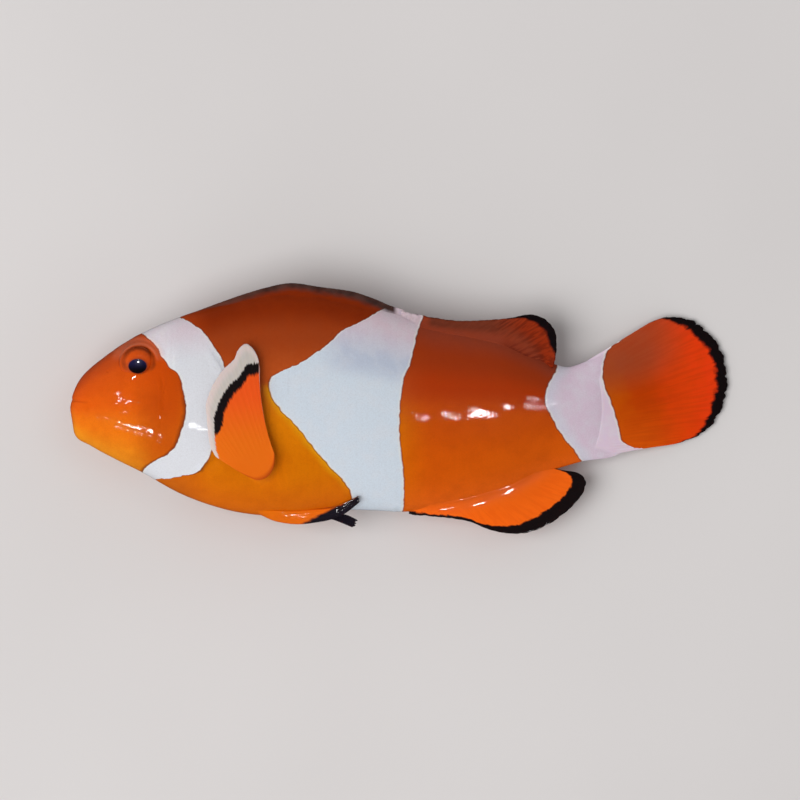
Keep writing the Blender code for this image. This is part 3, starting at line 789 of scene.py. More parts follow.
class Paint:
    # one node tree; node() adds a node, sets it up, feeds it and hands back an output
    def __init__(self, owner, shader):
        owner.use_nodes = True
        self.owner, self.tree = owner, owner.node_tree
        self.shader = self.tree.nodes[shader]

    def node(self, kind, settings=None, values=None, take=0):
        made = self.tree.nodes.new(kind)
        for key, value in (settings or {}).items():
            if key == "points":
                self.bend(made.mapping, value)
            elif key == "stops":
                self.colour(made.color_ramp, value)
            else:
                setattr(made, key, value)
        pairs = values.items() if isinstance(values, dict) else enumerate(values or [])
        for key, value in pairs:
            self.feed(made.inputs[key], value)
        return Signal(self, made.outputs[take])

    def bend(self, mapping, spots):
        points = mapping.curves[0].points
        for number, spot in enumerate(spots):
            if number < 2:
                points[number].location = spot
            else:
                points.new(*spot)
        mapping.extend = "HORIZONTAL"
        mapping.update()

    def colour(self, ramp, stops):
        ramp.interpolation = "EASE"
        for number, (place, tone) in enumerate(stops):
            stop = ramp.elements[number] if number < 2 else ramp.elements.new(place)
            stop.position, stop.color = place, srgb(*tone)

    def feed(self, socket, value):
        if isinstance(value, Signal):
            self.tree.links.new(value.socket, socket)
        else:
            socket.default_value = srgb(*value) if socket.type == "RGBA" else value

    def blend(self, share, first, second):
        return self.node("ShaderNodeMix", {"data_type": "RGBA"}, {0: share, 6: first, 7: second}, 2)

    def over(self, tone, *layers):
        # layers of colour over a tone, each with the share that it covers
        for share, colour in layers:
            tone = self.blend(share, tone, colour)
        return tone

    def ramp(self, place, stops):
        return self.node("ShaderNodeValToRGB", {"stops": stops}, [place])

    def attribute(self, name):
        return self.node("ShaderNodeAttribute", {"attribute_name": name}, take="Fac")

    def drawn(self):
        # the place in the drawing, in millimetres, and its x and y
        here = self.node("ShaderNodeTexCoord", take="Object")
        turned = {"operation": "MULTIPLY_ADD"}
        there = self.node("ShaderNodeVectorMath", turned, [here, (1 / mm,) * 3, -origin / mm])
        apart = [self.node("ShaderNodeSeparateXYZ", {}, [there], take) for take in (0, 1)]
        return there, *apart

    def noise(self, place, scale, detail=2.0, roughness=0.5):
        values = {"Vector": place, "Scale": scale, "Detail": detail, "Roughness": roughness}
        return self.node("ShaderNodeTexNoise", {}, values, "Fac")

    def bump(self, height, distance, strength=1.0):
        values = {"Height": height, "Distance": distance, "Strength": strength}
        return self.node("ShaderNodeBump", {}, values, "Normal")

    def finish(self, **values):
        for key, value in values.items():
            self.feed(self.shader.inputs[key.replace("_", " ")], value)
        return self.owner


markings = {  # where one tone passes into the next, by x, and the bars' edges, as x by y
    "softness": 0.1, "wander": 0.22, "fineWander": 0.05, "lineWidth": 0.3, "lineShare": 0.6,
    "cheek": (7.5, 12.5), "cheekShare": 0.6, "toMiddle": (14, 20), "toRear": (40, 50), "toTail": (70, 71),
    "tailReach": 23, "tailTip": (86, 78), "tailLow": (1, -7), "tailLowShare": 0.8,
    "veil": (-1, 4.5), "veilFrom": 73, "veilSlope": 0.3, "veilShare": 0.75, "fleckShare": 0.18,
    "fringe": (-1.5, 0.0), "fringeEnd": (42, 40), "fringeSpan": (-14, -9, 1.2, 2.6), "fringeShare": 0.75,
    "heavyLine": (-0.75, -0.1), "heavyEnd": (20, 18), "heavyBelow": (3, -1),
    "toWhite": (19, 27), "shaded": (0.6, 0.72, 0.86, 0.96), "shadedFrom": (33, 38), "shadedShare": 0.7,
    "backWhite": (0.72, 0.94), "backWhiteFrom": (0, 24), "tailWhite": (56, 62),
    "tailEdge": (2.4, 0.6), "tailEdgeFrom": (62, 64), "tailEdgeShare": 0.45,
    "cloudShare": 0.3, "rim": (0.36, 0.1), "rimShare": 0.6,
    "headFront": [(12, 7.2), (9.1, 9.8), (7.4, 11.7), (5.8, 12.7), (4.4, 13.8), (3.2, 15), (1.4, 15.5),
                  (-0.6, 15.9), (-2, 15.85), (-3.9, 15.3), (-5.8, 14.7), (-7.4, 13.4), (-8.3, 11.6),
                  (-9.6, 10), (-11, 9.3)],
    "headRear": [(13, 11.8), (11.4, 14.8), (9.4, 18), (7.1, 19.8), (4.6, 21.1), (0, 21.8), (-4, 20.9),
                 (-6.9, 19.4), (-8.8, 18.4), (-9.9, 17.2), (-10.5, 14.6), (-10.8, 12), (-11, 9.5)],
    "midFront": [(13.4, 44.3), (12.6, 42.9), (10.8, 39.9), (9.4, 37.2), (8, 35.6), (6.4, 33.6), (4.4, 30.1),
                 (3.5, 28.1), (2.8, 27.35), (1.3, 27.3), (-1, 28.6), (-3.5, 30.9), (-6.3, 33.1), (-9, 35.4),
                 (-12.8, 38.4), (-13.5, 38.5), (-14.4, 37.5), (-16, 36.9)],
    "midRear": [(13.4, 48.4), (11.3, 48.1), (9.4, 47.4), (5.5, 46.5), (2.35, 45.4), (-0.4, 45), (-4.9, 44.9),
                (-9.4, 45.4), (-11.7, 45.5), (-16, 45.3)],
    "tailFront": [(8, 66.9), (4, 66.4), (3.2, 65.9), (1.6, 65.1), (0, 64.9), (-1.7, 65.5), (-3.4, 66.3),
                  (-5, 67.3), (-6.2, 68.3), (-7.3, 69.2), (-9.2, 70.4)],
    "tailRear": [(10.5, 78.9), (8.3, 75.4), (6.2, 73.2), (3.9, 72.8), (1.5, 73.2), (-0.8, 74.1), (-3.1, 74.8),
                 (-5.2, 75.3), (-6.0, 75.9), (-6.4, 76.6), (-6.7, 79), (-7.2, 82)],
}
tones = {
    "head": [(0.02, (230, 138, 22)), (0.28, (230, 114, 14)), (0.52, (220, 90, 10)), (0.75, (210, 82, 14)),
             (0.9, (194, 73, 18)), (1.0, (176, 70, 34))],
    "middle": [(0.0, (222, 106, 4)), (0.22, (220, 117, 0)), (0.42, (230, 130, 2)), (0.62, (190, 82, 30)),
               (0.8, (164, 65, 23)), (0.94, (140, 42, 0))],
    "rear": [(0.0, (238, 100, 14)), (0.2, (224, 92, 4)), (0.48, (208, 80, 0)), (0.66, (182, 56, 0)),
             (0.82, (162, 54, 14)), (0.97, (152, 62, 38))],
    "tail": [(0.28, (200, 84, 0)), (0.5, (192, 62, 0)), (0.72, (216, 62, 8)), (0.95, (228, 58, 14))],
    "white": (214, 224, 234), "cheekWhite": (224, 225, 230), "backWhite": (228, 204, 214),
    # painted shade that darkens the bar's white on the fins' tops, which catch more light than the flank
    "tailWhite": (223, 201, 217), "shadedWhite": (184, 192, 212), "barPaintedShade": (190, 172, 176),
    "cheekShade": (190, 64, 0), "tailLow": (220, 90, 8), "veil": (152, 72, 44), "fleck": (176, 60, 0),
    "rim": (236, 232, 224), "line": (92, 36, 16), "fringe": (230, 156, 14), "scaleRim": (104, 40, 18),
    # painted shade of the brow fold and painted highlight on the brow ridges
    "browPaintedShade": (100, 36, 10), "browPaintedHighlight": (206, 122, 92),
}


def fishTone(paint, place, x, y):
    # orange, brown and white by place, the same for skin, scales and fins
    wander, finer = paint.noise(place, 0.8, 1.5) - 0.5, paint.noise(place, 2.6, 2.0) - 0.5
    bentX = x + wander * (markings["wander"] * 2) + finer * (markings["fineWander"] * 2)
    bentY = y + (paint.noise(place, 0.9, 2.0) - 0.5) * 0.5
    low, high = x.line(body["belly"][1:-1]), x.line(body["back"][1:-1])
    rise = ((bentY - low) / (high - low)).atLeast(0).atMost(1)
    head, middle, rear = (paint.ramp(rise, tones[key]) for key in ("head", "middle", "rear"))
    offX, offY = x - tailFin["centre"][0], y - tailFin["centre"][1]
    reach = (offX * offX + offY * offY).math("SQRT") * (1 / markings["tailReach"])
    short, soft = x.fade(*markings["tailTip"]), markings["softness"]
    veil = y - (x - markings["veilFrom"]) * markings["veilSlope"]
    tail = paint.over(
        paint.ramp(reach + wander * 0.12, tones["tail"]),
        (y.fade(*markings["tailLow"]) * short * markings["tailLowShare"], tones["tailLow"]),
        (veil.fade(*markings["veil"]) * short * markings["veilShare"], tones["veil"]))
    bars = []
    for name in ("head", "mid", "tail"):
        ahead = bentX - bentY.line(markings[name + "Front"])
        bars.append((ahead, ahead.atMost(bentY.line(markings[name + "Rear"]) - bentX)))
    inside = bars[0][1].atLeast(bars[1][1]).atLeast(bars[2][1])
    low, full, last, top = markings["fringeSpan"]
    fringe = bars[1][0].fade(*markings["fringe"]) * x.fade(*markings["fringeEnd"])
    fringe = fringe * y.fade(top, last) * y.fade(low, full)
    heavy = inside.fade(*markings["heavyLine"]) * x.fade(*markings["heavyEnd"])
    heavy = heavy * y.fade(*markings["heavyBelow"])
    tone = paint.over(
        head,
        (x.fade(*markings["cheek"]) * markings["cheekShare"], tones["cheekShade"]),
        (x.fade(*markings["toMiddle"]), middle),
        (x.fade(*markings["toRear"]), rear),
        (x.fade(*markings["toTail"]), tail),
        (paint.noise(place, 0.45, 4.0, 0.6).fade(0.35, 0.75) * markings["fleckShare"], tones["fleck"]),
        (fringe * markings["fringeShare"], tones["fringe"]),
        (inside.fade(-markings["lineWidth"], -0.04) * markings["lineShare"], tones["line"]),
        (heavy * markings["lineShare"], tones["line"]))
    shaded = rise.window(*markings["shaded"]) * x.fade(*markings["shadedFrom"])
    tailEdge = bars[2][0].fade(*markings["tailEdge"]) * x.fade(*markings["tailEdgeFrom"])
    pale = paint.over(
        tones["cheekWhite"],
        (x.fade(*markings["toWhite"]), tones["white"]),
        (shaded * markings["shadedShare"], tones["shadedWhite"]),
        (rise.fade(*markings["backWhite"]) * x.fade(*markings["backWhiteFrom"]), tones["backWhite"]),
        (x.fade(*markings["tailWhite"]), tones["tailWhite"]),
        (tailEdge * markings["tailEdgeShare"], tones["white"]),
        (paint.noise(place, 0.5, 3.0).fade(0.4, 0.7) * markings["cloudShare"], tones["cheekWhite"]),
        (inside.fade(*markings["rim"]) * markings["rimShare"], tones["rim"]))
    return paint.blend(inside.fade(-soft, soft), tone, pale)


brow = {  # where the brow's painted shade and painted highlights fall, by the distance from the rim of the orbit, and by the height over its middle
    "narrow": 0.9, "uneven": 0.24, "side": (-1.5, -0.1), "above": (-0.3, 1.3),
    "fold": (-0.55, -0.12, 0.0, 0.34), "sideShare": 0.34, "aboveShare": 0.4,
    "patch": (-1.7, -0.9, -0.5, 0.5), "patchWidth": (-0.5, -0.05), "patchShare": 0.4,
    "crease": (0.36, 0.46, 0.54, 0.66), "creaseEnd": (0.6, -0.8), "creaseShare": 0.45,
    "ridges": [((0.12, 0.42, 0.5, 0.9), 0.42), ((0.6, 0.9, 1.1, 1.7), 0.28)],
}


def browTone(paint, place, x, y, tone):
    # soft painted shade of the fold over the eye, on skin and eyeball alike, and paler ridges above it with
    # painted highlights
    ex, ey = (x - face["orbit"][0]) * brow["narrow"], y - face["orbit"][1]
    rim = (ex * ex + ey * ey).math("SQRT") - face["orbitRadius"]
    rim = rim + (paint.noise(place, 1.4) - 0.5) * brow["uneven"]
    side, above = ey.fade(*brow["side"]), ey.fade(*brow["above"])
    fold = rim.window(*brow["fold"]) * (side * brow["sideShare"] + above * brow["aboveShare"])
    start, end = brow["patchWidth"]
    patch = ey.window(*brow["patch"]) * rim.fade(start, end) * rim.fade(-start, -end)
    crease = rim.window(*brow["crease"]) * ex.fade(*brow["creaseEnd"]) * side
    # painted shade in the fold, the side patches and the crease, and painted highlights on the ridges
    shades = [(fold, tones["browPaintedShade"]), (patch * brow["patchShare"], tones["browPaintedShade"]),
              (crease * brow["creaseShare"], tones["browPaintedShade"])]
    ridges = [(rim.window(*span) * above * share, tones["browPaintedHighlight"]) for span, share in brow["ridges"]]
    return paint.over(tone, *shades, *ridges)


wet = {
    "Roughness": 0.42, "Coat_Weight": 0.7, "Coat_Roughness": 0.03, "Coat_IOR": 1.45,
    "Specular_IOR_Level": 0.06, "Subsurface_Weight": 0.1, "Subsurface_Radius": (0.0011, 0.0005, 0.0002),
    "Subsurface_Scale": 1.0,
}


def newPaint(name, **surface):
    paint = Paint(bpy.data.materials.new(name), "Principled BSDF")
    paint.finish(**surface)
    return paint


def skinMaterial():
    paint = newPaint("wetSkin", **wet)
    place, x, y = paint.drawn()
    # the brow's painted shade and painted highlights lie over the markings
    tone = browTone(paint, place, x, y, fishTone(paint, place, x, y))
    rim = paint.attribute("along").fade(0.82, 0.98)  # the free edge of a scale
    speck = paint.noise(place, 5.0, 3.0, 0.65)
    tone = paint.blend(speck.fade(0.3, 0.8) * 0.1 + rim * 0.04, tone, tones["scaleRim"])
    grain, film = paint.noise(place, 9.0, 3.0), paint.noise(place, 1.3, 1.0)
    cheek = x.window(3.5, 5.0, 11, 13) * y.fade(-5.5, -4) * y.fade(3, 1.5)
    beads = paint.node("ShaderNodeTexVoronoi", {}, {"Vector": place, "Scale": 1.25}).fade(0.3, 0.0)
    height = grain * 0.0015 + film * (cheek * 0.004 + 0.002) + beads * x.fade(66, 64) * 0.004
    gloss = x.fade(66.6, 65.2) * 0.58 + x.fade(70.5, 69) * 0.1  # the stalk of the tail is nearly matt
    return paint.finish(Base_Color=tone, Roughness=grain * 0.14 + 0.35, Coat_Weight=gloss,
                        Normal=paint.bump(height, mm))


finTones = {
    "strip": (84, 56, 50), "stripDark": (50, 32, 28), "stripFront": (118, 66, 52),
    # painted shade in the crease where the soft fin's rear lobe lies over the body
    "softVeil": (112, 52, 34), "lobe": (150, 46, 15), "lobeThread": (72, 20, 10), "lobePaintedShade": (78, 20, 8),
    "foldThread": (96, 16, 4), "softHem": (18, 12, 14),
    # the darker orange at the anal fin's root is painted shade that evens its lit root with the body
    "analRootShade": (188, 70, 8), "anal": (248, 104, 18), "analThread": (222, 78, 10), "analHem": (22, 15, 16),
    "tailThread": (160, 46, 10), "tailHem": (19, 13, 14),
    "breastLow": (222, 104, 20), "breastHigh": (230, 84, 28), "breastBand": (24, 19, 20),
    "clear": (208, 190, 186), "clearInner": (190, 182, 175), "clearRay": (220, 208, 202),
    # painted shade along the breast fin's lower edge and root, and a painted highlight along its front edge
    "breastPaintedShade": (176, 60, 10), "breastEdgeHighlight": (232, 178, 166),
    "belly": (228, 104, 14), "bellyTip": (26, 21, 30),
}


def finMaterial(name, recipe):
    paint = newPaint(name, **wet)
    place, x, y = paint.drawn()
    fin = {key: paint.attribute(key) for key in ("rim", "ridge", "out", "across", "rayTone")}
    fin["edge"] = fin["rim"] + (paint.noise(place, 1.1, 3.0, 0.55) - 0.5) * 0.6 - fin["ridge"] * 0.06
    fin["thread"] = paint.node("ShaderNodeCombineXYZ", {}, [fin["across"] * 40, fin["out"] * 2.2])
    tone = recipe(paint, fishTone(paint, place, x, y), place, x, y, fin)
    streak = paint.noise(place, 7.0, 2.0)
    return paint.finish(Base_Color=tone, Roughness=streak * 0.16 + 0.34,
                        Normal=paint.bump(streak, 0.00002, 0.1))


def hem(paint, fin, tone, width, black, soft=0.16):
    # a dark margin whose inner edge frays along the rays
    return paint.blend((fin["edge"] - width).fade(soft, -soft), tone, black)


def streaked(paint, fin, tone, dark, strength):
    # fine darker lines between the rays
    thread = paint.noise(fin["thread"], 1.3, 2.0).fade(0.42, 0.62)
    return paint.blend(fin["out"].fade(0.1, 0.5) * thread * strength, tone, dark)


def spinyTone(paint, base, place, x, y, fin):
    strip = paint.over(
        finTones["strip"],
        (paint.noise(place, 0.7, 3.0).fade(0.25, 0.8), finTones["stripDark"]),
        (x.fade(30, 18) * 0.6, finTones["stripFront"]))
    width = x.fade(14, 23) * 0.7 + x.fade(34, 41) * 0.25
    return paint.over(
        base,
        # painted shade over the bar's white at the spiny fin's end
        (x.fade(44.0, 44.8) * 0.4, tones["barPaintedShade"]),
        ((fin["edge"] - width).fade(0.7, -0.45) * x.fade(44.8, 44.0), strip))


def softTone(paint, base, place, x, y, fin):
    tone = paint.over(
        base,
        # painted shade over the bar's white at the soft fin's front
        ((x + (11.7 - y) * 0.54).fade(48.3, 48.1) * 0.4, tones["barPaintedShade"]),
        (fin["out"].fade(0.12, 0.6) * x.fade(48.4, 49.5) * 0.85, finTones["softVeil"]),
        (fin["out"].fade(0.25, 0.6) * x.fade(57, 63) * 0.9, finTones["lobe"]))
    tone = streaked(paint, fin, tone, finTones["lobeThread"], x.fade(55, 60) * 0.3 + 0.12)
    fold = y - 6.75 + (x - 60.2) * 0.56  # where the rear lobe lies over the body
    thread = paint.noise(fin["thread"], 1.3, 2.0).fade(0.35, 0.6)
    tone = paint.over(
        tone,
        # painted shade along the crease where the rear lobe lies over the body
        (fold.window(-0.3, 0.05, 0.15, 0.75) * x.fade(58, 61) * 0.6, finTones["lobePaintedShade"]),
        (fold.window(-0.1, 0.3, 0.5, 2.2) * x.fade(58.5, 61) * thread * 0.55, finTones["foldThread"]))
    return hem(paint, fin, tone, x.fade(59, 63.5) * y.fade(5.6, 8.4) * 1.15, finTones["softHem"], 0.26)


def analTone(paint, base, place, x, y, fin):
    tone = paint.over(
        base,
        # painted shade near the root, where the fin faces the light more than the body
        (fin["out"].fade(0.3, 0.0) * 0.4, finTones["analRootShade"]),
        (fin["out"].fade(0.05, 0.75) * x.fade(45.6, 46.4), finTones["anal"]))
    tone = streaked(paint, fin, tone, finTones["analThread"], 0.22)
    lumps = (paint.noise(place, 0.7, 3.0, 0.6) - 0.5) * 0.9
    width = x.fade(53, 64) * 1.2 + x.fade(49.5, 53) * 0.3 + 0.42 + lumps
    return hem(paint, fin, tone, width, finTones["analHem"])


def tailTone(paint, base, place, x, y, fin):
    tone = streaked(paint, fin, base, finTones["tailThread"], 0.2)
    width = fin["across"].window(0.04, 0.36, 0.84, 1.02) * 1.5 + 0.04
    lumps = (paint.noise(place, 0.9, 2.0) - 0.5) * fin["across"].fade(0.1, 0.3)
    return hem(paint, fin, tone, width * (fin["rayTone"] * 0.2 + 0.9) + lumps, finTones["tailHem"], 0.34)


breastMarks = {  # by the share across the fin: how wide the clear margin is, and the black band inside it
    "clear": [(0, -0.7), (0.035, -0.1), (0.066, 0.6), (0.135, 2.0), (0.19, 2.75), (0.25, 2.9), (0.31, 2.5),
              (0.48, 2.27), (0.56, 2.25), (0.66, 2.1), (0.74, 1.8), (0.85, 1.4), (0.93, 1.1), (1, 0.6)],
    "band": [(0, 1.25), (0.19, 1.5), (0.25, 1.45), (0.31, 1.4), (0.39, 1.45), (0.48, 1.5), (0.56, 1.65),
             (0.66, 2.0), (1, 2.0)],
}


def breastTone(paint, base, place, x, y, fin):
    across, fray = fin["across"], (paint.noise(fin["thread"], 1.6, 2.0) - 0.5) * 0.9
    edge = fin["rim"] + fray * across.fade(0.04, 0.1)
    clear, band = (across.line(breastMarks[key]) for key in ("clear", "band"))
    dark = (edge - clear - band * y.fade(-5.6, -3.4)).fade(0.3, -0.3) * y.fade(-5.3, -4.3)
    pale = paint.over(
        finTones["clear"],
        (fin["rim"].fade(0.5, 1.6), finTones["clearInner"]),
        (fin["ridge"] * 0.1, finTones["clearRay"]))
    # painted shade along the lower margin and along the root
    low = fin["rim"].fade(0.3, 0.05) * y.fade(-7.4, -8.4)
    low = low.atLeast(fin["out"].fade(0.05, 0.01) * y.fade(-6, -8))
    return paint.over(
        finTones["breastLow"],
        (y.fade(-6.5, 1.5), finTones["breastHigh"]),
        (dark, finTones["breastBand"]),
        ((edge - clear).fade(0.16, -0.16), pale),
        # painted shade on the low edge and the root
        (low * 0.6, finTones["breastPaintedShade"]),
        # painted highlight along the fin's front edge
        (across.fade(0.06, 0.025) * fin["out"].fade(0.3, 0.5) * 0.8, finTones["breastEdgeHighlight"]))


def bellyTone(paint, base, place, x, y, fin):
    off = y + 16.9 - (x - 31.8) * 0.51 + (paint.noise(place, 1.6, 3.0) - 0.5) * 0.5
    return paint.over(
        base,
        (fin["out"].fade(0.1, 0.5), finTones["belly"]),
        (off.fade(0.3, -0.2) * x.fade(31, 32), finTones["bellyTip"]))


eye = {
    "radius": 2.5, "bulge": 0.42, "look": (0.035, -0.135), "rings": 90, "around": 96,
    "depth": 1.55,  # half its thickness from cornea to back
    "pupil": (1.22, 0.97),  # half its width and height
    "irisDish": (-0.05, 1.35, 0.25), "pupilRim": (0.02, 1.02, 0.08),  # height, place and width, in pupils
    "farFromPupil": 3,
}


def makeEye(side, name):
    # a ball looking out of the flank, with a slight dish between the rim of the iris and the pupil
    x, y = body["eyeAt"]
    centre = np.array([x, y, droopLine(x) + side * (halfThickness(x, y) + eye["bulge"] - eye["depth"])])
    gaze = unit(np.array([*eye["look"], side * 1.0]))
    over = unit(np.array([0.0, 1.0, 0.0]) - gaze[1] * gaze)
    polar = np.linspace(0, math.pi, eye["rings"] + 1)[1:-1]
    turn = 2 * math.pi * np.arange(eye["around"]) / eye["around"]
    p, t = np.meshgrid(polar, turn, indexing="ij")
    across, up = np.sin(p) * np.cos(t) * eye["radius"], np.sin(p) * np.sin(t) * eye["radius"]
    pupil = np.hypot(across / eye["pupil"][0], up / eye["pupil"][1])
    pupil = np.where(p < 1.5, pupil, eye["farFromPupil"])
    front = eye["depth"] * np.cos(p) + swell(pupil, eye["irisDish"], eye["pupilRim"])
    points = across[..., None] * np.cross(over, gaze) + up[..., None] * over + front[..., None] * gaze
    points = centre + np.concatenate([points.reshape(-1, 3), [eye["depth"] * gaze, -eye["depth"] * gaze]])
    values = {"pupil": np.append(pupil.ravel(), (0, eye["farFromPupil"])),
              "above": np.append(up.ravel(), (0, 0))}
    ball = newMesh("eyeball" + name, points, gridFaces(len(polar), eye["around"], wrap=True), values)
    closeEnds(ball.data, len(polar), eye["around"])
    first = ball.data.polygons[0]
    if np.dot(np.array(first.center) - placed(centre), np.array(first.normal)) < 0:
        ball.data.flip_normals()
    return ball


eyeTones = {
    "iris": (212, 82, 14), "irisDark": (196, 68, 10), "irisRim": (140, 66, 40),
    "pupilLow": (12, 8, 12), "pupilHigh": (26, 24, 62),
}


def eyeMaterial():
    paint = newPaint("wetEye", Roughness=0.3, Coat_Weight=1.0, Coat_Roughness=0.02, Coat_IOR=1.5,
                     Specular_IOR_Level=0.2)
    place, x, y = paint.drawn()
    pupil, above = paint.attribute("pupil"), paint.attribute("above")
    iris = paint.blend(paint.noise(place, 4.0, 3.0), eyeTones["iris"], eyeTones["irisDark"])
    # the brow's painted shade and painted highlights run on over the eyeball
    iris = browTone(paint, place, x, y, iris)
    iris = paint.blend(pupil.fade(1.32, 1.05) * 0.55, iris, eyeTones["irisRim"])
    dark = paint.blend(above.fade(-0.6, 0.7), eyeTones["pupilLow"], eyeTones["pupilHigh"])
    return paint.finish(Base_Color=paint.blend(pupil.fade(1.08, 0.98), iris, dark))


studio = {
    "cameraHeight": 1.2, "fieldWidth": 0.10944, "lookAt": (45.0, 0.0), "planeHeight": 6.7,
    "air": [(0.0, 0.75), (0.45, 0.6), (0.8, 0.2), (1.0, 0.12)],  # brightness by height in the sky
    "floorSize": 3.0, "floorLevel": -0.0002, "floorTones": [(210, 206, 205), (214, 210, 209)],
    "lamps": {  # lean from upright towards x and y in degrees, distance, width, depth, power
        "keySoftbox": (-34, -14, 0.9, 0.8, 0.8, 7.4),
        "fillSoftbox": (20, 14, 0.9, 0.5, 0.5, 0.7),
    },
    "glintDistance": 0.5, "glintReach": 0.4,
    "glints": {  # by lit piece: where each small lamp glints, its width, depth and brightness
        "skin": [
            (55.2, -1.9, 0.036, 0.026, 60), (54.3, -1.25, 0.003, 0.02, 60), (55.1, -1.25, 0.003, 0.02, 60),
            (47.2, -2.4, 0.002, 0.024, 110), (48.4, -2.4, 0.002, 0.02, 110), (50.5, -2.05, 0.002, 0.024, 160),
            (59.3, -1.0, 0.014, 0.034, 60), (61.9, -0.8, 0.003, 0.026, 110), (63.1, -0.2, 0.002, 0.02, 80),
            (64.2, 0.0, 0.003, 0.024, 90), (16.2, -3.4, 0.03, 0.025, 18), (6.3, 0.8, 0.006, 0.016, 50),
            (7.1, 0.1, 0.005, 0.016, 50), (8.1, -0.2, 0.008, 0.016, 55), (6.2, -0.5, 0.003, 0.01, 40),
            (7.5, -1.6, 0.003, 0.018, 60), (5.7, -2.1, 0.006, 0.016, 60), (4.9, -2.4, 0.006, 0.016, 60),
            (8.6, -3.7, 0.005, 0.035, 120), (6.9, -3.85, 0.002, 0.02, 60), (8.6, 3.13, 0.006, 0.022, 90)],
        "analFin": [
            (59.9, -12.5, 0.07, 0.045, 70), (55.8, -14.25, 0.02, 0.03, 90), (51.2, -14.9, 0.008, 0.06, 70)],
        "bellyFinLeft": [
            (30.2, -15.8, 0.016, 0.07, 70), (37.3, -14.65, 0.03, 0.06, 90), (38.1, -14.0, 0.012, 0.03, 90)],
        "eyeballLeft": [(9.2, 5.28, 0.07, 0.06, 40)],
    },
}


def floorMaterial():
    paint = newPaint("paleFloor", Roughness=0.8, Specular_IOR_Level=0.2)
    cloud = paint.noise(paint.node("ShaderNodeTexCoord", take="Object"), 14.0)
    return paint.finish(Base_Color=paint.blend(cloud.fade(0.3, 0.7), *studio["floorTones"]))


def addLamp(name, target, direction, distance, width, depth, power):
    data = bpy.data.lights.new(name, "AREA")
    data.shape, data.size, data.size_y, data.energy = "RECTANGLE", width, depth, power
    lamp = addObject(name, data)
    lamp.visible_glossy = distance < 0.8  # only the near lamps glint on wet skin
    away = Vector(direction).normalized()
    side = Vector((0, 1, 0)).cross(away).normalized()
    lamp.location = Vector(target) + away * distance
    lamp.rotation_euler = Matrix((side, away.cross(side), away)).transposed().to_euler()
    return lamp


def addGlint(name, piece, lit, x, y, width, depth, brightness):
    # a small lamp where the camera sees its reflection at this place of the piece, for the lit pieces alone
    eyePoint = bpy.context.scene.camera.location
    aim = Vector(placed([x, y, studio["planeHeight"]]))
    point = piece.ray_cast(eyePoint, (aim - eyePoint).normalized())[1]
    view, reach = (eyePoint - point).normalized(), studio["glintReach"] * mm
    centres, normals = (readValues(piece.data.polygons, key, 3) for key in ("center", "normal"))
    near = (lengths(centres - np.array(point)) < reach) & (normals @ np.array(view) > 0.3)
    outward = Vector(normals[near].mean(0)).normalized()
    power = brightness * math.pi**2 / 4 * width * depth
    mirrored = 2 * outward.dot(view) * outward - view
    lamp = addLamp(name, point, mirrored, studio["glintDistance"], width, depth, power)
    lamp.data.shape, lamp.visible_diffuse = "ELLIPSE", False
    lamp.light_linking.receiver_collection = lit


def addGlints(pieces):
    for name, glints in studio["glints"].items():
        lit = bpy.data.collections.new(name + "Lit")
        for piece in pieces:
            if piece.name == name or name == "skin" and piece.name.startswith("scales"):
                lit.objects.link(piece)
        for number, sizes in enumerate(glints):
            addGlint("%sGlint%d" % (name, number), bpy.data.objects[name], lit, *sizes)


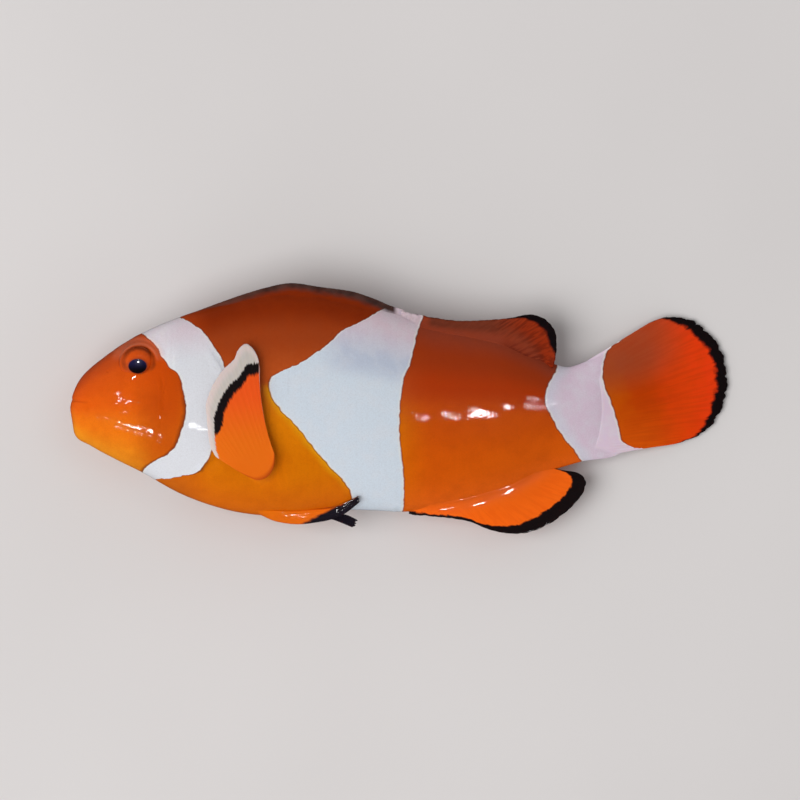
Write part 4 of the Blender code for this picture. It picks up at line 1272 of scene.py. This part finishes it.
def makeStudio():
    scene = bpy.context.scene
    middle = placed([*studio["lookAt"], studio["planeHeight"]])
    lens = bpy.data.cameras.new("camera")
    lens.lens = lens.sensor_width * (studio["cameraHeight"] - middle[2]) / studio["fieldWidth"]
    lens.clip_end = 20
    camera = addObject("camera", lens)
    camera.location = (middle[0], middle[1], studio["cameraHeight"])
    scene.camera = camera
    for name, (leanX, leanY, distance, *rest) in studio["lamps"].items():
        lean = (math.tan(math.radians(leanX)), math.tan(math.radians(leanY)), 1)
        addLamp(name, middle, lean, distance, *rest)
    scene.world = bpy.data.worlds.new("studioAir")
    air = Paint(scene.world, "Background")
    height = air.node("ShaderNodeSeparateXYZ", {}, [air.node("ShaderNodeTexCoord", take="Generated")], 2)
    air.finish(Color=(255, 255, 255), Strength=height.line(studio["air"]))
    scene.world.cycles_visibility.glossy = False  # no grey veil from the sky on wet skin
    scene.view_settings.view_transform = "Standard"
    size, low = studio["floorSize"], studio["floorLevel"]
    mesh = bpy.data.meshes.new("floor")
    corners = [(-size, -size, low), (size, -size, low), (size, size, low), (-size, size, low)]
    mesh.from_pydata(corners, [], [(0, 1, 2, 3)])
    mesh.materials.append(floorMaterial())
    floor = addObject("floor", mesh)
    floor.visible_glossy = False  # its pale glare stays off the wet skin's slopes


pieces = []


def dress(piece, material, slot, *nodes):
    pieces.append(piece)
    piece.data.materials.clear()
    piece.data.materials.append(material)
    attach(piece, "root")
    if nodes:
        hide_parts(*nodes)


makeStudio()
print("studio set")

hide = skinMaterial()
skin = makeSkin()
dress(skin, hide, "skin_orange", "head", "lower_jaw", "gill_cover_left", "gill_cover_right", "trunk",
      "tail_stalk")
print("skin made")

for piece in makeCoat(hide, skin):
    dress(piece, hide, "skin_orange")
print("scales made")

spinyBack = edgeFin("dorsalSpines", spinyFin, backLine, 1)
dress(spinyBack, finMaterial("spinyFinSkin", spinyTone), "fin_brown", "dorsal_fin_spiny")
softBack = edgeFin("softBackFin", softFin, backLine, 1)
dress(softBack, finMaterial("softFinSkin", softTone), "fin_brown", "dorsal_fin_soft")
underFin = edgeFin("analFin", analFin, bellyLine, -1)
dress(underFin, finMaterial("analFinSkin", analTone), "fin_orange", "anal_fin")
dress(makeTailFin(), finMaterial("tailFinSkin", tailTone), "fin_red", "caudal_fin")
breastSkin, bellySkin = finMaterial("breastFinSkin", breastTone), finMaterial("bellyFinSkin", bellyTone)
for piece, side in zip(makeBreastFins(), ("left", "right")):
    dress(piece, breastSkin, "fin_orange", "pectoral_fin_" + side)
for side in ("left", "right"):
    dress(makeBellyFin(side), bellySkin, "fin_black", "pelvic_fin_" + side)
print("fins made")

eyeSkin = eyeMaterial()
for side, name in ((1, "Left"), (-1, "Right")):
    dress(makeEye(side, name), eyeSkin, "eye", "eye_" + name.lower())
addGlints(pieces)
print("eyes made")
